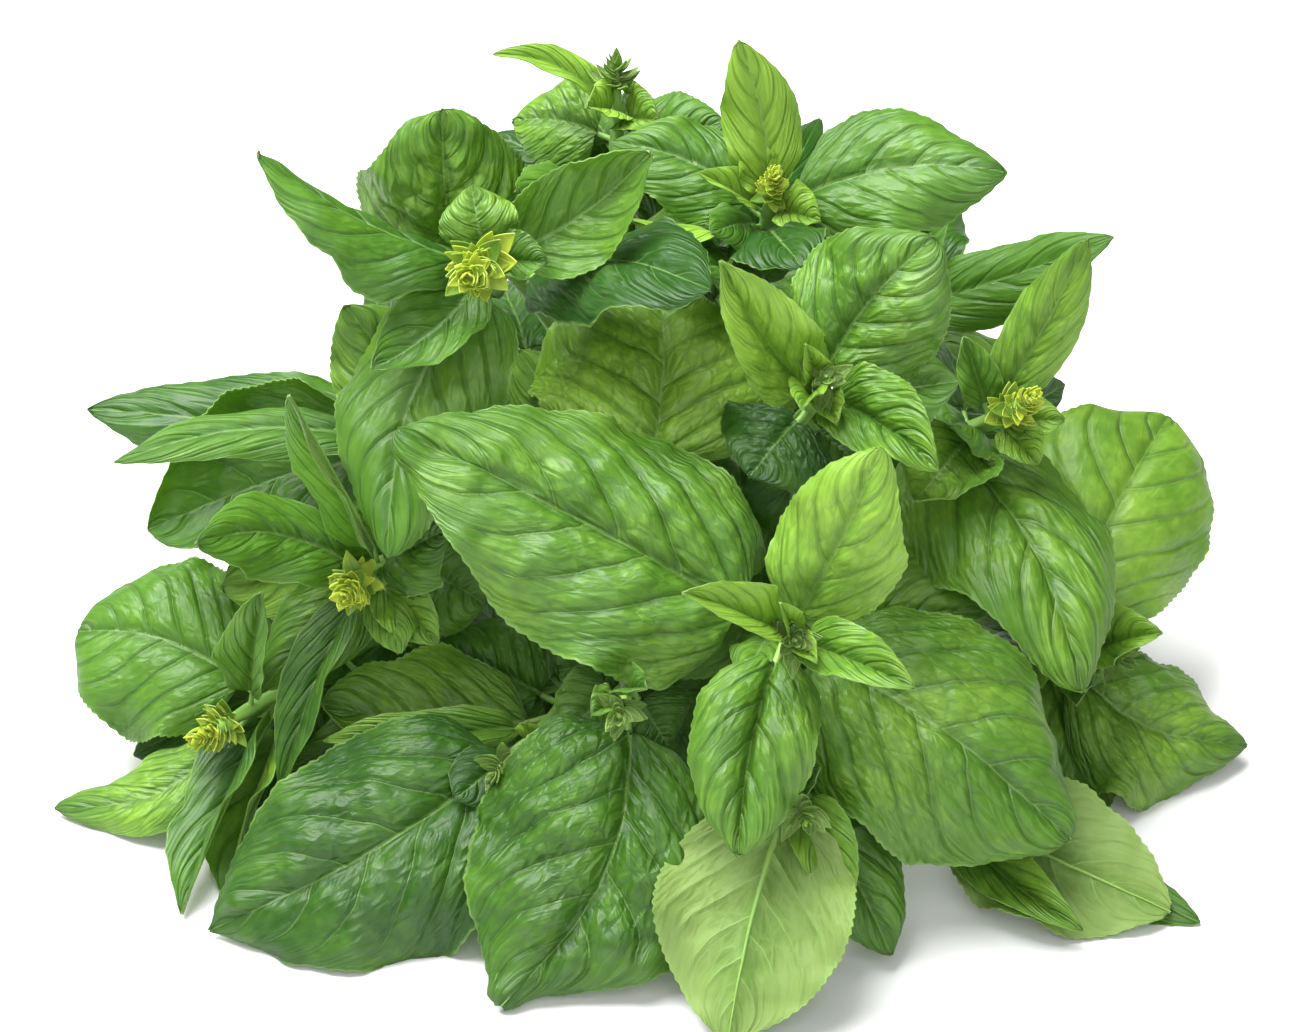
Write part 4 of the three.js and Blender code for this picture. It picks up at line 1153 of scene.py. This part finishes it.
class BUNCH_OT_flower_spikes(bpy.types.Operator):
    """Make the flower spikes in bud"""

    bl_idname = "bunch.flower_spikes"
    bl_label = "Flower spikes"

    def execute(self, context):
        look = context.scene.bunch_settings
        materials = [bract_material(look), stem_material(look)]
        for stem in (stem for stem in STEMS if stem.spike):
            piece = make_object(f"bracts_{stem.name}", spike_parts(stem), materials)
            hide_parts(f"flower_spike_{stem.name}")
        return {"FINISHED"}


class BUNCH_OT_band(bpy.types.Operator):
    """Make the band round the bare stems"""

    bl_idname = "bunch.band"
    bl_label = "Band"

    def execute(self, context):
        material = band_material(context.scene.bunch_settings)
        piece = make_object("rubber_band", [(band_part(), 0)], [material])
        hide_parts("band")
        return {"FINISHED"}


class BUNCH_OT_stage(bpy.types.Operator):
    """Make the floor, lights and camera"""

    bl_idname = "bunch.stage"
    bl_label = "Stage"

    def execute(self, context):
        look = context.scene.bunch_stage
        mesh = bpy.data.meshes.new("floor")
        corners = ((-1, -1), (1, -1), (1, 1), (-1, 1))
        mesh.from_pydata([(x * FLOOR_REACH, y * FLOOR_REACH, 0) for x, y in corners],
                         [], [(0, 1, 2, 3)])
        mesh.materials.append(floor_material(look))
        add_to_scene("floor", mesh)

        for name, place, size, share in LIGHTS:
            light = bpy.data.lights.new(name, "AREA")
            light.energy = look.key_power * share
            light.size = size
            point_at(add_to_scene(name, light), place, LIT_POINT)

        nodes = Nodes(bpy.data.worlds.new("surroundings"))
        sky = nodes.add("ShaderNodeBackground", {}, {"Color": (1, 1, 1, 1), "Strength": look.sky})
        context.scene.world = nodes.finish(sky, "World")

        angle = look.camera_angle
        away = np.array([0.0, -math.cos(angle), math.sin(angle)])
        camera = bpy.data.cameras.new("camera")
        camera.sensor_fit = "HORIZONTAL"
        camera.lens = camera.sensor_width * look.camera_distance / look.view_width
        viewer = add_to_scene("camera", camera)
        point_at(viewer, np.array(CAMERA_TARGET) + away * look.camera_distance, CAMERA_TARGET)
        context.scene.camera = viewer
        context.scene.view_settings.view_transform = "Standard"
        return {"FINISHED"}


def point_at(thing, place, target):
    """Puts a camera or light at a place, turned towards a target."""
    thing.location = place
    way = mathutils.Vector(target) - mathutils.Vector(place)
    thing.rotation_euler = way.to_track_quat("-Z", "Y").to_euler()


class BUNCH_PT_panel(bpy.types.Panel):
    """Lists the bunch's pieces"""

    bl_idname = "BUNCH_PT_panel"
    bl_label = "Basil bunch"
    bl_space_type = "VIEW_3D"
    bl_region_type = "UI"
    bl_category = "Basil"

    def draw(self, context):
        for operator in OPERATORS:
            self.layout.operator(operator.bl_idname)
        for group in (context.scene.bunch_settings, context.scene.bunch_stage):
            for name in group.bl_rna.properties.keys():
                if name not in {"rna_type", "name"}:
                    self.layout.prop(group, name)


OPERATORS = (BUNCH_OT_leafy_stems, BUNCH_OT_flower_spikes, BUNCH_OT_band, BUNCH_OT_stage)
CLASSES = (BunchSettings, StageSettings, *OPERATORS, BUNCH_PT_panel)


def register():
    for item in CLASSES:
        bpy.utils.register_class(item)
    bpy.types.Scene.bunch_settings = bpy.props.PointerProperty(type=BunchSettings)
    bpy.types.Scene.bunch_stage = bpy.props.PointerProperty(type=StageSettings)


def unregister():
    del bpy.types.Scene.bunch_stage
    del bpy.types.Scene.bunch_settings
    for item in reversed(CLASSES):
        bpy.utils.unregister_class(item)


def main():
    register()
    bpy.ops.bunch.leafy_stems()
    bpy.ops.bunch.flower_spikes()
    bpy.ops.bunch.band()
    bpy.ops.bunch.stage()


if __name__ == "__main__":
    main()
